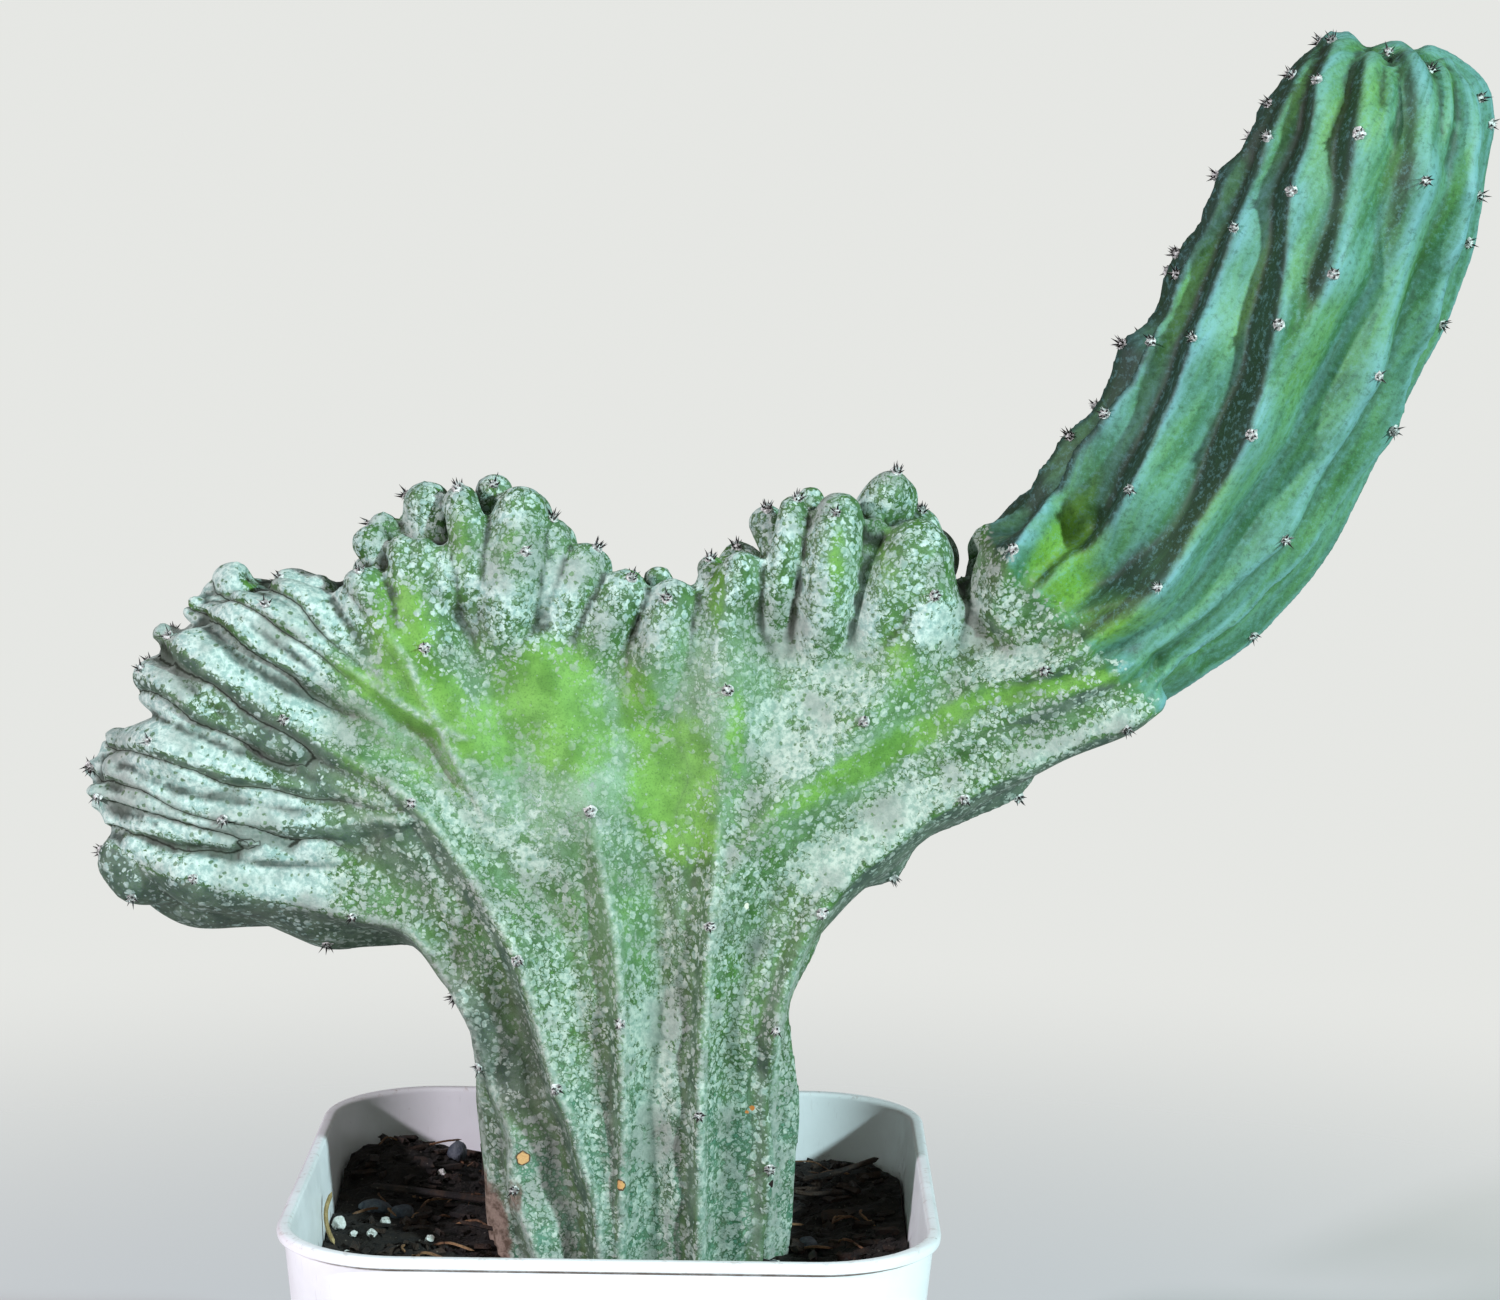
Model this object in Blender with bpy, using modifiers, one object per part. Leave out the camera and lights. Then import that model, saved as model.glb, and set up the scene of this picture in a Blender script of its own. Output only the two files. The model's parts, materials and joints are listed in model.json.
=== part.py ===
"""A crested blue candle cactus growing in a square plastic pot, at its real size.

The plant is one grown body: a flattened trunk that fans out into a crest, and one normal
ribbed arm that rises from the crest's right end. Every rib is a long body swept along its
own ridge line. The ribs overlap one another and a flat core, and a voxel remesh grows them
together. The ridge lines are laid out in the plane of the fan, in millimetres: x to the
right and z up from the soil, as they look from one eye point in front of the plant.
Run it with blender --background --python part.py.
"""

import math
import random

import bmesh
import bpy
from mathutils import Matrix, Vector, noise
from mathutils.bvhtree import BVHTree

MM = 0.001

# The pot
POT_WIDTH = 150.0
POT_HEIGHT = 125.0
POT_BASE_WIDTH = 124.0
POT_WALL = 1.8
RIM_CORNER = 28.0
CORNER_STEPS = 8
RIM_REACH = 1.3
RIM_DEPTH = 2.6
RIM_ROUND = 1.2
BASE_FILLET = 2.0
FLOOR_THICKNESS = 2.4
DRAIN_RADIUS = 4.5
DRAIN_SPACING = 50.0
DRAIN_SIDES = 16
DRAIN_CUTTER_LENGTH = 4 * FLOOR_THICKNESS
# How far in from its two ends the middle of a rounded edge lies, as a share of its radius
ROUND_SHARE = 0.3

# The soil, whose top swells slowly and is covered with crumbs
SOIL_BELOW_RIM = 20.0
SOIL_LEVEL = POT_HEIGHT - SOIL_BELOW_RIM
SOIL_GRID = 26
SWELL = 2.5
SWELL_SCALE = 0.03
CRUMB = 1.6
CRUMB_SCALE = 0.2
SEAT_GAP = 0.4
STEM_GAP = 1.0
FACING_DOWN = -0.99

# The eye point from which the ridge lines were laid out, measured from the soil's centre
EYE = Vector((30.0, -868.0, 267.0))

# The flat sheet inside the trunk and the fan, as an outline in the fan's plane
SHEET = [
    (-2, -30), (-2, 48), (-12, 68), (-30, 86), (-60, 93), (-100, 94), (-106, 104), (-103, 117),
    (-97, 132), (-87, 146), (-74, 149), (-60, 154), (-46, 164), (-25, 166), (-9, 152), (8, 147),
    (20, 151), (35, 162), (50, 169), (63, 166), (70, 155), (84, 155), (100, 156), (108, 140),
    (88, 127), (66, 112), (46, 95), (28, 74), (14, 48), (14, -30),
]
# Half the flat sheet's thickness is its extrusion and its rounded edge
SHEET_EXTRUDE = 6.0
SHEET_BEVEL = 5.0
SHEET_BEVEL_STEPS = 2

# The arm's axis, which starts inside the sheet
ARM_AXIS = [(98, 144), (114, 157), (130, 178), (146, 204), (157, 228), (167, 250), (172, 262)]

# Round cores inside the ribs: x, z, half width and half depth
CORES = [
    [(2, -36, 20, 15), (4, 0, 28, 21), (4, 40, 28, 21), (2, 70, 31, 20), (-2, 104, 30, 14)],
    [(-4, 78, 22, 18), (-38, 98, 24, 16.5), (-70, 111, 26, 14), (-104, 116, 18, 10)],
    [(-4, 80, 26, 19), (-16, 108, 30, 18), (-27, 132, 28, 15), (-34, 164, 20, 8)],
    [(8, 85, 26, 19), (14, 112, 24, 17.5), (10, 130, 22, 14), (10, 152, 18, 8)],
    [(16, 82, 20, 19), (36, 112, 24, 17.5), (50, 138, 24, 14), (55, 174, 16, 8)],
    [(18, 74, 14, 18), (54, 112, 13, 16), (96, 136, 15, 16)],
    [(92, 140, 15, 13), (114, 157, 18, 17), (130, 178, 20, 20), (146, 204, 21, 21),
     (157, 228, 21, 21), (166, 250, 20.5, 20.5), (172, 268, 18, 18), (174, 280, 13, 13)],
]

# Ribs of the front. Each station is x, z, the ridge's distance from the core, and the
# rib's half width. The first two values of each rib are its keenness along most of its
# length and at its tip: near 1 a sharp keel with flat flanks, 2 a round roll.
FRONT_RIBS = {
    "trunk_left_edge": (1.1, 1.8, [
        (-24, -24, 24, 10), (-30, 0, 29, 12), (-31, 15, 30, 12), (-33, 32, 32, 12),
        (-33, 45, 32.5, 12), (-36, 56, 31, 12), (-42, 67, 26, 12), (-50, 77, 22, 12),
        (-63, 80, 20, 12), (-80, 84, 18.5, 12), (-100, 88.5, 18, 11), (-112, 92, 17, 9),
        (-120, 98, 17, 7)]),
    "trunk_left_fold": (1.1, 1.8, [
        (-16, -24, 25, 10), (-19, -4, 29, 11), (-24.5, 14, 30, 11), (-26, 27, 30.5, 10.5),
        (-30, 40, 31, 10.5), (-36, 56, 29.5, 8)]),
    "left_main": (1.1, 1.8, [
        (-3, -24, 24, 10), (-4, 0, 29, 12), (-5, 11, 29.5, 12), (-8, 20, 30, 12.5),
        (-11, 31, 30, 13), (-14.5, 39, 30, 13.5), (-19, 54, 29.5, 14), (-24, 70, 28, 15),
        (-31, 83, 26, 16), (-38, 94, 24, 16), (-49, 107.5, 22, 17), (-64, 118, 20.5, 15.5),
        (-79, 127, 19, 14), (-92, 136, 18.5, 11.5), (-103, 144.3, 18, 9), (-107.5, 147.3, 17.5, 7)]),
    "middle_left": (1.1, 1.8, [
        (2, -24, 24, 10), (1, 0, 29, 12), (1.5, 30, 29.5, 12.5), (0.5, 55, 29, 13),
        (-1, 75, 27.5, 15), (-4, 90, 25, 17), (-7, 106, 23, 19), (-11, 120, 20.5, 20),
        (-16, 136, 18, 18), (-22, 150, 16, 12)]),
    "middle_right": (1.1, 1.8, [
        (20, -24, 24, 10), (20, 0, 29, 12), (19.5, 33, 30, 12.5), (20.5, 60, 29.5, 13),
        (21.5, 79, 28, 14), (23, 100, 25, 15), (24, 115, 22.5, 15), (25, 135.5, 20, 13),
        (24.5, 152, 18, 9), (26, 163, 17.5, 7), (27, 171, 17.5, 5.5)]),
    "right_main": (1.1, 1.8, [
        (34, -24, 24, 9), (36, 0, 30, 10), (36.5, 20, 30.5, 10), (36.5, 40, 31, 10),
        (37.5, 54, 30.5, 9.5), (41, 68, 28, 9.5), (48, 82.5, 24, 9.5), (60, 95, 22, 10),
        (81, 110.3, 21.5, 9.5), (100, 119, 23, 9), (118.7, 127.5, 26, 8.5), (132, 136, 29, 6)]),
    "right_crest": (1.35, 1.8, [
        (22, 80, 27, 12), (30, 99, 25, 14), (45, 116, 22.5, 15), (57, 128.5, 20.5, 14),
        (67, 144, 18.5, 12), (72, 158.5, 17.5, 9), (72.5, 168, 17, 8), (71, 179, 16.5, 7)]),
    "left_low_finger": (1.7, 2.0, [
        (-90, 98, 12, 4.5), (-99, 101, 16, 4.8), (-106, 103, 16.5, 4.8), (-117, 107, 16.5, 4.2),
        (-127, 109.5, 16, 3.6)]),
    "left_low_fold": (1.7, 2.0, [
        (-92, 97, 14, 4.5), (-104, 98.5, 16, 4.8), (-114, 100, 16, 4.8), (-124, 101.5, 15, 4.5)]),
    "left_low": (1.5, 2.0, [
        (-52, 103, 14, 12), (-66, 103, 18.5, 13), (-78, 102.5, 19, 12.5), (-93, 103, 18.5, 11),
        (-104, 106, 17.5, 9), (-113, 110.5, 17, 7), (-123, 114.5, 16.5, 5.5)]),
    "left_middle": (1.6, 2.0, [
        (-58, 107, 14, 11), (-70, 110, 18.5, 12), (-83, 112.5, 18.8, 11.5), (-95, 115.5, 18.5, 11),
        (-104, 118.5, 18, 10), (-111, 120.7, 17, 9.5), (-120.8, 121.6, 16.5, 6.5)]),
    "left_high": (1.6, 2.0, [
        (-78, 117, 13, 8.5), (-88, 123, 17, 8.5), (-97, 128, 17.5, 8.5), (-104, 132.5, 17.5, 8.5),
        (-109.3, 136, 17.5, 8.5), (-115, 138.4, 17, 7)]),
    "left_top_low": (1.7, 2.0, [
        (-64, 131, 13, 8), (-74, 138, 17.5, 8), (-83, 143, 17.5, 7), (-90, 149, 17, 6.5),
        (-99.5, 155, 15, 5.5)]),
    "left_top": (1.6, 2.0, [
        (-40, 124, 15, 11), (-52, 131, 19.5, 11.5), (-62, 138, 19, 11), (-72, 145, 18.5, 9),
        (-82.5, 152.5, 17.5, 7), (-91, 157.2, 16.5, 6), (-95.5, 158.6, 17, 5)]),
    "left_top_back": (1.6, 2.0, [
        (-55, 135, 13, 8.5), (-63, 143, 17.3, 9), (-70, 150, 17, 8.5), (-76, 157, 16, 8),
        (-84, 162, 14.5, 6)]),
    "crest_saddle": (1.6, 2.0, [
        (-38, 116, 15, 10), (-45, 130, 19.5, 11), (-50, 140, 19.5, 11), (-57, 152, 18, 9),
        (-62, 160, 16.5, 8), (-63.5, 165.5, 16, 6.5)]),
    "crest_left": (1.6, 2.0, [
        (-20, 92, 18, 12), (-30, 112, 21, 14), (-38, 128, 20.5, 15), (-46, 144.5, 18.8, 12),
        (-47.5, 158, 17, 9), (-47, 168, 15, 7)]),
    "arm_left": (1.12, 2.0, [
        (84, 150, 17, 6), (89, 162, 21, 8), (91, 169.6, 25, 8), (97, 180, 30, 8),
        (104, 192, 33, 9), (111.5, 201.5, 34, 8), (121.6, 218.4, 34.5, 7.5), (128, 234, 34, 7),
        (133.5, 247, 33, 6.5), (138.5, 259, 31.5, 6), (145.5, 270, 30, 6), (152.5, 281, 28.5, 6),
        (158.5, 287, 25, 5.5), (163, 290, 12, 5)]),
    "arm_left_middle": (1.12, 2.0, [
        (85, 148, 17, 7), (97, 160, 21, 10.5), (108, 172, 26, 9), (117.6, 184, 31, 9.5),
        (124, 201, 34, 9.5), (131.3, 219.2, 35, 9.5), (135, 232, 34, 9), (140, 244.6, 33.5, 9),
        (143, 256, 32, 8.5), (147, 265.5, 30.5, 7),
        (153, 279, 29.5, 6), (159.5, 288.5, 27, 6), (163, 291.8, 12, 5.5)]),
    "arm_middle_left": (1.12, 2.0, [
        (88, 146, 18, 8), (105, 154, 21, 10.5), (125, 161, 28, 11), (136, 178, 32, 9.5),
        (145.6, 197, 34.5, 9.5), (151, 222.6, 35, 9.5), (152, 238, 34, 9.5), (153, 253, 33, 9),
        (156, 266, 31.5, 7), (158.5, 279, 30, 6), (163, 288.5, 28, 6), (167, 292, 12, 5.5)]),
    "arm_middle": (1.12, 2.0, [
        (62, 122, 14, 7), (80, 134.5, 19, 10), (90, 139, 20.5, 10.5), (99, 141, 22.5, 10.5),
        (112, 149, 25, 10.5), (124, 158, 29, 10.5), (133, 170, 31, 9), (141, 185, 33, 9),
        (148, 200, 34, 9), (156, 218, 34.5, 9), (163.3, 234.4, 35, 9.5), (166, 250, 33, 9),
        (168, 266.5, 31.5, 8.5), (169, 280, 30, 5.5), (170, 285, 28, 5.5), (171, 287.5, 14, 4)]),
    "arm_middle_right": (1.12, 2.0, [
        (58, 112, 14, 7), (80, 126, 19.5, 10), (100, 133.5, 22, 10.5), (118, 142, 25, 11),
        (135, 153, 29, 11.5), (154.3, 172.6, 33, 10), (165, 190, 34, 10), (174.6, 211, 35, 10),
        (180, 233, 34, 10), (183.7, 256, 33, 9.5), (184, 272, 31, 7.5), (181, 283, 29.5, 6.5),
        (179, 286.5, 27, 6), (177.5, 290, 12, 5)]),
    "arm_right": (1.12, 2.0, [
        (114, 130, 22, 7), (128, 140, 27, 8), (143, 152, 31, 9.5), (160, 169, 34, 10),
        (175, 190, 35, 9), (185, 215, 34.5, 7.5), (192.5, 241, 34.5, 8), (196, 260, 32, 7.5),
        (194.5, 274, 30, 7.5), (189, 283.5, 27, 6), (185, 287, 12, 4.5)]),
    "arm_young_left": (1.6, 2.0, [
        (171, 256, 29, 3), (173.5, 267, 30, 3.2), (175, 276, 29.5, 3.2), (174.8, 284, 26, 3)]),
    "arm_young_right": (1.6, 2.0, [
        (187.5, 258, 31, 3.5), (189.5, 270, 31, 4.5), (188, 280, 29.5, 4.5), (183, 286, 25, 4)]),
}

# Ribs at the silhouette, where the third value is the ridge's own depth
EDGE_RIBS = {
    "trunk_back_left": (1.3, 1.3, [
        (-26, -24, 7, 10), (-31, 5, 9, 12), (-34, 35, 9, 12), (-36, 52, 8, 12), (-42, 64, 6, 12),
        (-49, 71.5, 5, 11), (-60, 72.5, 5, 11), (-69, 72, 4, 11), (-80, 76.5, 5, 11),
        (-92, 82, 6, 10), (-106, 88, 6, 8), (-115, 95, 5, 6)]),
    "left_under_back": (1.6, 2.0, [
        (-60, 80, 14, 10), (-75, 80, 14, 10), (-88, 79, 13, 10), (-100, 78, 12, 9),
        (-110, 83, 10, 8), (-117, 91, 7, 6)]),
    "left_lip": (1.6, 2.0, [
        (-72, 84, -2, 8), (-92, 84.5, -4, 9), (-106, 83, -5, 9), (-116, 82.5, -5, 8.5),
        (-121.5, 87.5, -5, 8), (-124.5, 94, -4, 7), (-123.5, 101, -3, 6)]),
    "right_fin": (1.2, 1.2, [
        (36, -24, 4, 8), (42, 0, 4, 9), (43, 20, 3, 9), (44, 36, 2, 9), (41.5, 52, 2, 9),
        (41, 61, 2, 9), (46, 71.5, 2, 8.5), (50, 82, 2, 8.5), (57, 88, 2, 8), (65.5, 91, 2, 7.5),
        (71, 99.5, 2, 8), (82, 105, 2, 7.5), (94, 111, 2, 7), (101, 120, 1, 7), (112, 126, 0, 5)]),
    "arm_left_flange": (1.12, 2.0, [
        (86, 142, 4, 6), (81, 156, 0, 6), (80.5, 168, -1, 6), (82, 175, -1, 5), (88.5, 177.8, 0, 5),
        (92.5, 181, 2, 6), (95.6, 187.5, 3, 7), (99.5, 193.5, 4, 7), (102.4, 197.4, 4, 7.5),
        (108.5, 203, 4, 8), (111.8, 210.5, 4, 8), (114.3, 218.2, 4, 8), (119, 222, 5, 8),
        (123.7, 227, 5, 8), (125.9, 234.5, 5, 8), (127.7, 239.5, 5, 8), (131.2, 243, 5, 8),
        (132, 248.4, 5, 8), (134.7, 253.5, 5, 8), (135.3, 257.5, 5, 8), (139.7, 261.5, 5, 7),
        (143.7, 266.5, 5, 6.5), (144, 271.5, 5, 6), (148.7, 276.8, 5, 6), (151.2, 281, 5, 6),
        (156.2, 285.8, 4, 6), (162, 289.5, 2, 5)]),
    "arm_right_flange": (1.12, 2.0, [
        (120, 129, 4, 7), (134, 138, 4, 8), (148.4, 149, 4, 9), (165, 169, 4, 10),
        (178.5, 198.5, 4, 10), (189.5, 222, 4, 9), (195.5, 240, 4, 8), (197.5, 256, 4, 8),
        (199, 270, 4, 7.5), (196.5, 279, 3, 7), (189, 285, 3, 6.5), (179, 289, 2, 5.5)]),
}

# Fingers of the crest: stations of a round body, each x, z, depth and radius
FINGERS = [
    [(-49, 148, -7, 2.8), (-51, 160, -12, 3.2), (-51.5, 166, -11, 3.2), (-51.5, 170.5, -7, 3)],
    [(-46, 150, -8, 2.4), (-46.3, 162, -12.5, 2.6), (-46.5, 171, -10, 2.5)],
    [(-40.5, 148, -8, 2.8), (-41.5, 160, -12.5, 2.9), (-42, 169, -10, 2.6)],
    [(-32, 144, -6, 4), (-34.5, 160, -11, 4.4), (-36, 170, -10.5, 4.5), (-37.5, 178, -7.5, 4.3),
     (-37.5, 181, -3, 3.8)],
    [(-29, 136, -6, 6), (-27, 150, -9.5, 7), (-26, 162, -10.5, 7.5), (-24.5, 171, -9, 7),
     (-23, 182.8, -4.5, 5.6)],
    [(-19, 140, -5, 4), (-18, 155, -8.5, 4.6), (-16.5, 168, -7.5, 4.6), (-16.8, 175, -3.5, 4.4)],
    [(-17, 138, -6, 4), (-13, 153, -9.5, 5), (-9, 164, -8, 5.2), (-7.5, 168, -4, 4.6)],
    [(-10, 134, -6, 5), (-4.5, 149, -10, 5.6), (0.5, 158.5, -8.5, 5.8), (1.5, 161.5, -5, 5)],
    [(5.5, 126, -7, 5), (9, 143, -12, 6), (11.5, 155, -10, 5.8), (13, 160.5, -6, 5)],
    [(18, 128, -7, 2.8), (19, 146, -12, 3.2), (20, 158, -8.5, 3.2), (21, 165, -4, 3)],
    [(35, 142, -6, 3.2), (37, 162, -11.5, 3.7), (39, 174, -9, 3.7), (40, 181, -4, 3.2)],
    [(45, 136, -6, 5.5), (47.5, 155, -11.5, 6.2), (49.5, 171, -11, 6.2), (51, 182, -5.5, 5.2)],
    [(56, 140, -5, 6), (63, 157, -9, 8), (68, 167, -8.5, 8.2), (69.5, 176, -6, 7)],
    [(55, 174, 3, 4.6), (62, 182, 2, 5.6), (67, 184.5, 1, 4.6)],
    [(-97, 152, 6, 3), (-92, 159.5, 5, 4.5), (-86, 159, 3, 4.2)],
]
# The fingers behind the crest are these mirrored about half this depth, and shifted
BACK_FINGER_DEPTH = 7.0
BACK_SHIFT = 1.5
# Round buds of the crest on short necks: x, z, depth and radius
BUDS = [
    (-124, 115, 2, 2.8), (-118, 120.3, 4, 4.6), (-107.3, 146.2, 2, 3.4), (-100, 153, 1, 3.2),
    (-66.2, 150, -9, 3.4), (-71, 158.5, 4, 3.8), (-59, 169, -6, 4.2), (-56, 173, -1, 3.5),
    (-45.5, 178, -1, 5.8), (-30, 181.2, 2, 4.6), (8.3, 161.2, 1, 3.6), (20.5, 164, -3, 3.4),
    (33.5, 175, 4, 4.4), (43.5, 180.5, 4, 3.4), (58.6, 174, -5, 3),
]

# Where the wool and spines sit, as seen from the eye point
AREOLES = [
    (-33, 44), (-40, 60), (-63, 80), (-100.5, 88.6), (-24.5, 14), (-14.5, 39), (-24, 70), (-49, 107.5),
    (-79, 127), (-106, 146.5), (0.5, 55), (-7, 106), (19.5, 33), (21.5, 79), (25, 135.5), (26.5, 169),
    (36.5, 20), (37.5, 54), (48, 82.5), (81, 110.3), (118.7, 127.5), (57, 128.5), (73, 158.5),
    (69.5, 178), (64.5, 91.2), (93.5, 111), (-69, 73.5), (-93.4, 103), (-123, 108), (-110.8, 121.4),
    (-124.5, 115), (-112.5, 138.5), (-83.2, 154.2), (-81.5, 162.5), (-115, 84), (-123.5, 95.4),
    (-61.3, 162.4), (-46, 144.5), (-60.5, 173.5), (-51, 180.5), (-38.5, 182), (-30, 183), (-22.5, 167.5),
    (-16.5, 175), (-6, 168.5), (2.2, 161.5), (10.5, 157), (20.5, 166), (33.5, 178), (40.5, 180.5),
    (49.7, 177.5), (63.5, 187), (91, 169.6), (111.4, 201.4), (121.6, 218.4), (127, 233.8),
    (103.5, 196), (115, 217.5), (127, 238.5), (135.5, 256.5), (147, 273), (117.6, 184), (131.3, 219.2),
    (140, 244.6), (147, 265.5), (152.5, 279.5), (125, 161), (145.6, 197), (151, 222.6), (153, 253.2),
    (158, 278.5), (99, 141), (163.3, 234.4), (168, 266.5), (154.3, 172.6), (174.6, 211),
    (183.7, 256), (183.9, 281), (194, 242), (195.5, 275), (147.5, 150), (178.5, 198.5), (190.5, 222.5),
    (197.5, 252.5), (199.5, 269), (161, 287.5), (174, 285),
]

# How a body is swept along its line
SECTION_SIDES = 16
PATH_STEP = 2.2
SAME_POINT = 0.01

# A rib's keel: how far it reaches down from its crown, and the rounding of its ends
RIB_DEPTH = 15.0
RIB_DEPTH_SHARE = 0.62
RIB_END = 5.0
TIP_DEPTH = 8.0
TIP_BLEND = 3
BUD_NECK = 1.0

# Ridges rise to each areole and dip between them, more so on the arm
FAN_WAVE = 1.6
ARM_WAVE = 2.6
ARM_WAVE_FROM = 165.0
WAVE_LENGTH = 10.0
WAVE_DIP = 0.7
EDGE_WAVE = 0.2

# The ribs behind are those in front mirrored, then shifted by a slow noise
BACK_WARP = 4.0
BACK_WARP_SCALE = 0.03
BACK_WARP_FULL_DEPTH = 24.0
# The arm's back ribs stand a little further out, as far as the arm leans away from the eye
ARM_BACK_SHIFT = 2.5
ARM_BACK_FROM = 100.0
ARM_BACK_BLEND = 30.0

# The remesh that grows all of it together
VOXEL = 1.5
SMOOTH_FACTOR = 0.5
SMOOTH_STEPS = 3
BODY_TRIANGLES = 6600
STEM_TRIANGLES = 9000

# The areoles' wool pads and spines
AREOLE_RADIUS = 1.5
AREOLE_FLATNESS = 0.7
SPINES_PER_AREOLE = 2
SPINE_FACES_UP = 0.35
SPINE_INSET = 0.35
SPINE_LENGTH = 2.4
BACK_FACING = 0.25
FRONT_AREOLES = slice(None, None, 2)
BACK_AREOLES = slice(1, None, 3)
SEED = 7

# Each piece's finish: its name, colour and roughness
FINISHES = {
    "cactus": ("cactus_skin", (0.16, 0.33, 0.22), 0.55),
    "soil": ("potting_soil", (0.035, 0.02, 0.014), 0.95),
    "pot": ("white_plastic", (0.8, 0.8, 0.79), 0.4),
}
SHARP_ANGLE = 40.0


def lerp(a, b, t):
    return a + (b - a) * t


def nearest_on_segment(p, a, b):
    along = b - a
    t = max(0.0, min(1.0, (p - a).dot(along) / along.length_squared))
    return a + along * t


def inside(p, outline):
    crossings = False
    for i, a in enumerate(outline):
        b = outline[i - 1]
        if (a.y > p.y) != (b.y > p.y) and p.x < lerp(a.x, b.x, (p.y - a.y) / (b.y - a.y)):
            crossings = not crossings
    return crossings


SHEET_2D = [Vector(p) for p in SHEET]
BONES = [(SHEET_2D[i - 1], p) for i, p in enumerate(SHEET_2D)]
BONES += [(Vector(a), Vector(b)) for a, b in zip(ARM_AXIS, ARM_AXIS[1:])]


def nearest_on_core(x, z):
    """The core's nearest point to a place in the fan's plane."""
    p = Vector((x, z))
    if inside(p, SHEET_2D):
        return p
    found = [nearest_on_segment(p, a, b) for a, b in BONES]
    return min(found, key=lambda q: (q - p).length)


def seen_from_eye(x, z, y):
    """The place at depth y that looks, from the eye point, as (x, z) does in the fan's plane."""
    flat = Vector((x, 0.0, z))
    return EYE + (flat - EYE) * (1 + y / -EYE.y)


def smooth_path(points, step):
    """Points about a step apart on a smooth curve through the given ones, of any dimension."""
    if len(points) == 2:
        points = [points[0], (points[0] + points[1]) / 2, points[1]]
    ends = [points[0] * 2 - points[1], *points, points[-1] * 2 - points[-2]]
    path = []
    for a, b, c, d in zip(ends, ends[1:], ends[2:], ends[3:]):
        count = max(1, round((c - b).length / step))
        for k in range(count):
            t = k / count
            path.append(
                0.5
                * (
                    2 * b
                    + (c - a) * t
                    + (2 * a - 5 * b + 4 * c - d) * t**2
                    + (3 * b - a - 3 * c + d) * t**3
                )
            )
    return [*path, points[-1]]


def to_vectors(stations):
    return [Vector(s) for s in stations]


def end_rounding(travelled, total, radius):
    """How far a section is drawn in, from 0 at a rounded end to 1 past its cap."""
    from_end = min(travelled, total - travelled) / radius
    return math.sqrt(1 - (1 - from_end) ** 2) if from_end < 1 else 1.0


def pour(shape, bm):
    """Add a shape's mesh to another and free it."""
    mesh = bpy.data.meshes.new("shape")
    bmesh.ops.recalc_face_normals(shape, faces=shape.faces)
    shape.to_mesh(mesh)
    shape.free()
    bm.from_mesh(mesh)
    bpy.data.meshes.remove(mesh)


def add_swept(bm, centres, acrosses, outs, keennesses):
    """Grow a closed body round a path: a sphere whose rings are laid on the path's sections."""
    last = len(centres) - 1
    shape = bmesh.new()
    bmesh.ops.create_uvsphere(shape, u_segments=SECTION_SIDES, v_segments=last, radius=1)
    for vert in shape.verts:
        ring = round(math.acos(max(-1.0, min(1.0, vert.co.z))) / math.pi * last)
        angle = math.atan2(vert.co.y, vert.co.x)
        power = 2 / keennesses[ring]
        sideways = math.copysign(abs(math.cos(angle)) ** power, math.cos(angle))
        outward = math.copysign(abs(math.sin(angle)) ** power, math.sin(angle))
        vert.co = centres[ring] + acrosses[ring] * sideways + outs[ring] * outward
    pour(shape, bm)


def add_rib(bm, ridge, core, widths, keen, keen_tip):
    """A keel whose crown runs along ridge and whose root points at core."""
    steps = [(b - a).length for a, b in zip(ridge, ridge[1:])]
    total = sum(steps)
    centres = []
    acrosses = []
    outs = []
    keennesses = []
    for i, (top, root, width) in enumerate(zip(ridge, core, widths)):
        along = (ridge[min(i + 1, len(ridge) - 1)] - ridge[max(i - 1, 0)]).normalized()
        out = top - root
        out -= along * out.dot(along)
        depth = min(RIB_DEPTH, RIB_DEPTH_SHARE * out.length)
        out.normalize()
        drawn_in = end_rounding(sum(steps[:i]), total, min(width, RIB_END))
        centres.append(top - out * depth)
        acrosses.append(along.cross(out) * width * drawn_in)
        outs.append(out * depth * drawn_in)
        keennesses.append(lerp(keen, keen_tip, min(1.0, sum(steps[:i]) / total) ** TIP_BLEND))
    add_swept(bm, centres, acrosses, outs, keennesses)


def ridge_of(stations, depth_of, waves=1.0):
    """A rib's ridge points, core points and widths along its smooth path."""
    ridge = []
    core = []
    widths = []
    for x, z, third, width in smooth_path(to_vectors(stations), PATH_STEP):
        flat_root = nearest_on_core(x, z)
        root = Vector((flat_root.x, 0, flat_root.y))
        away = (Vector((x, z)) - flat_root).length
        top = seen_from_eye(x, z, depth_of(third, away))
        ridge.append(top + (top - root).normalized() * ridge_wave(x, z) * waves)
        core.append(root)
        widths.append(width)
    return ridge, core, widths


def ridge_wave(x, z):
    """How far a ridge stands out at a place: it peaks at each areole and dips between them."""
    nearest = min((Vector((x, z)) - Vector(a)).length for a in AREOLES)
    height = ARM_WAVE if z > ARM_WAVE_FROM else FAN_WAVE
    return height * (math.exp(-((nearest / WAVE_LENGTH) ** 2)) - WAVE_DIP)


def front_depth(reach, away):
    return -math.sqrt(max(TIP_DEPTH**2, reach**2 - away**2))


def own_depth(depth, away):
    return depth


def to_back(points, warp):
    """Points mirrored to the far side and shifted by a slow noise, so it isn't a copy."""
    moved = []
    for p in points:
        freedom = min(1.0, abs(p.y) / BACK_WARP_FULL_DEPTH)
        shift = noise.noise_vector(p * BACK_WARP_SCALE) * warp * freedom
        shift.x += ARM_BACK_SHIFT * max(0.0, min(1.0, (p.x - ARM_BACK_FROM) / ARM_BACK_BLEND))
        moved.append(Vector((p.x + shift.x, -p.y, p.z + shift.z)))
    return moved


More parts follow.
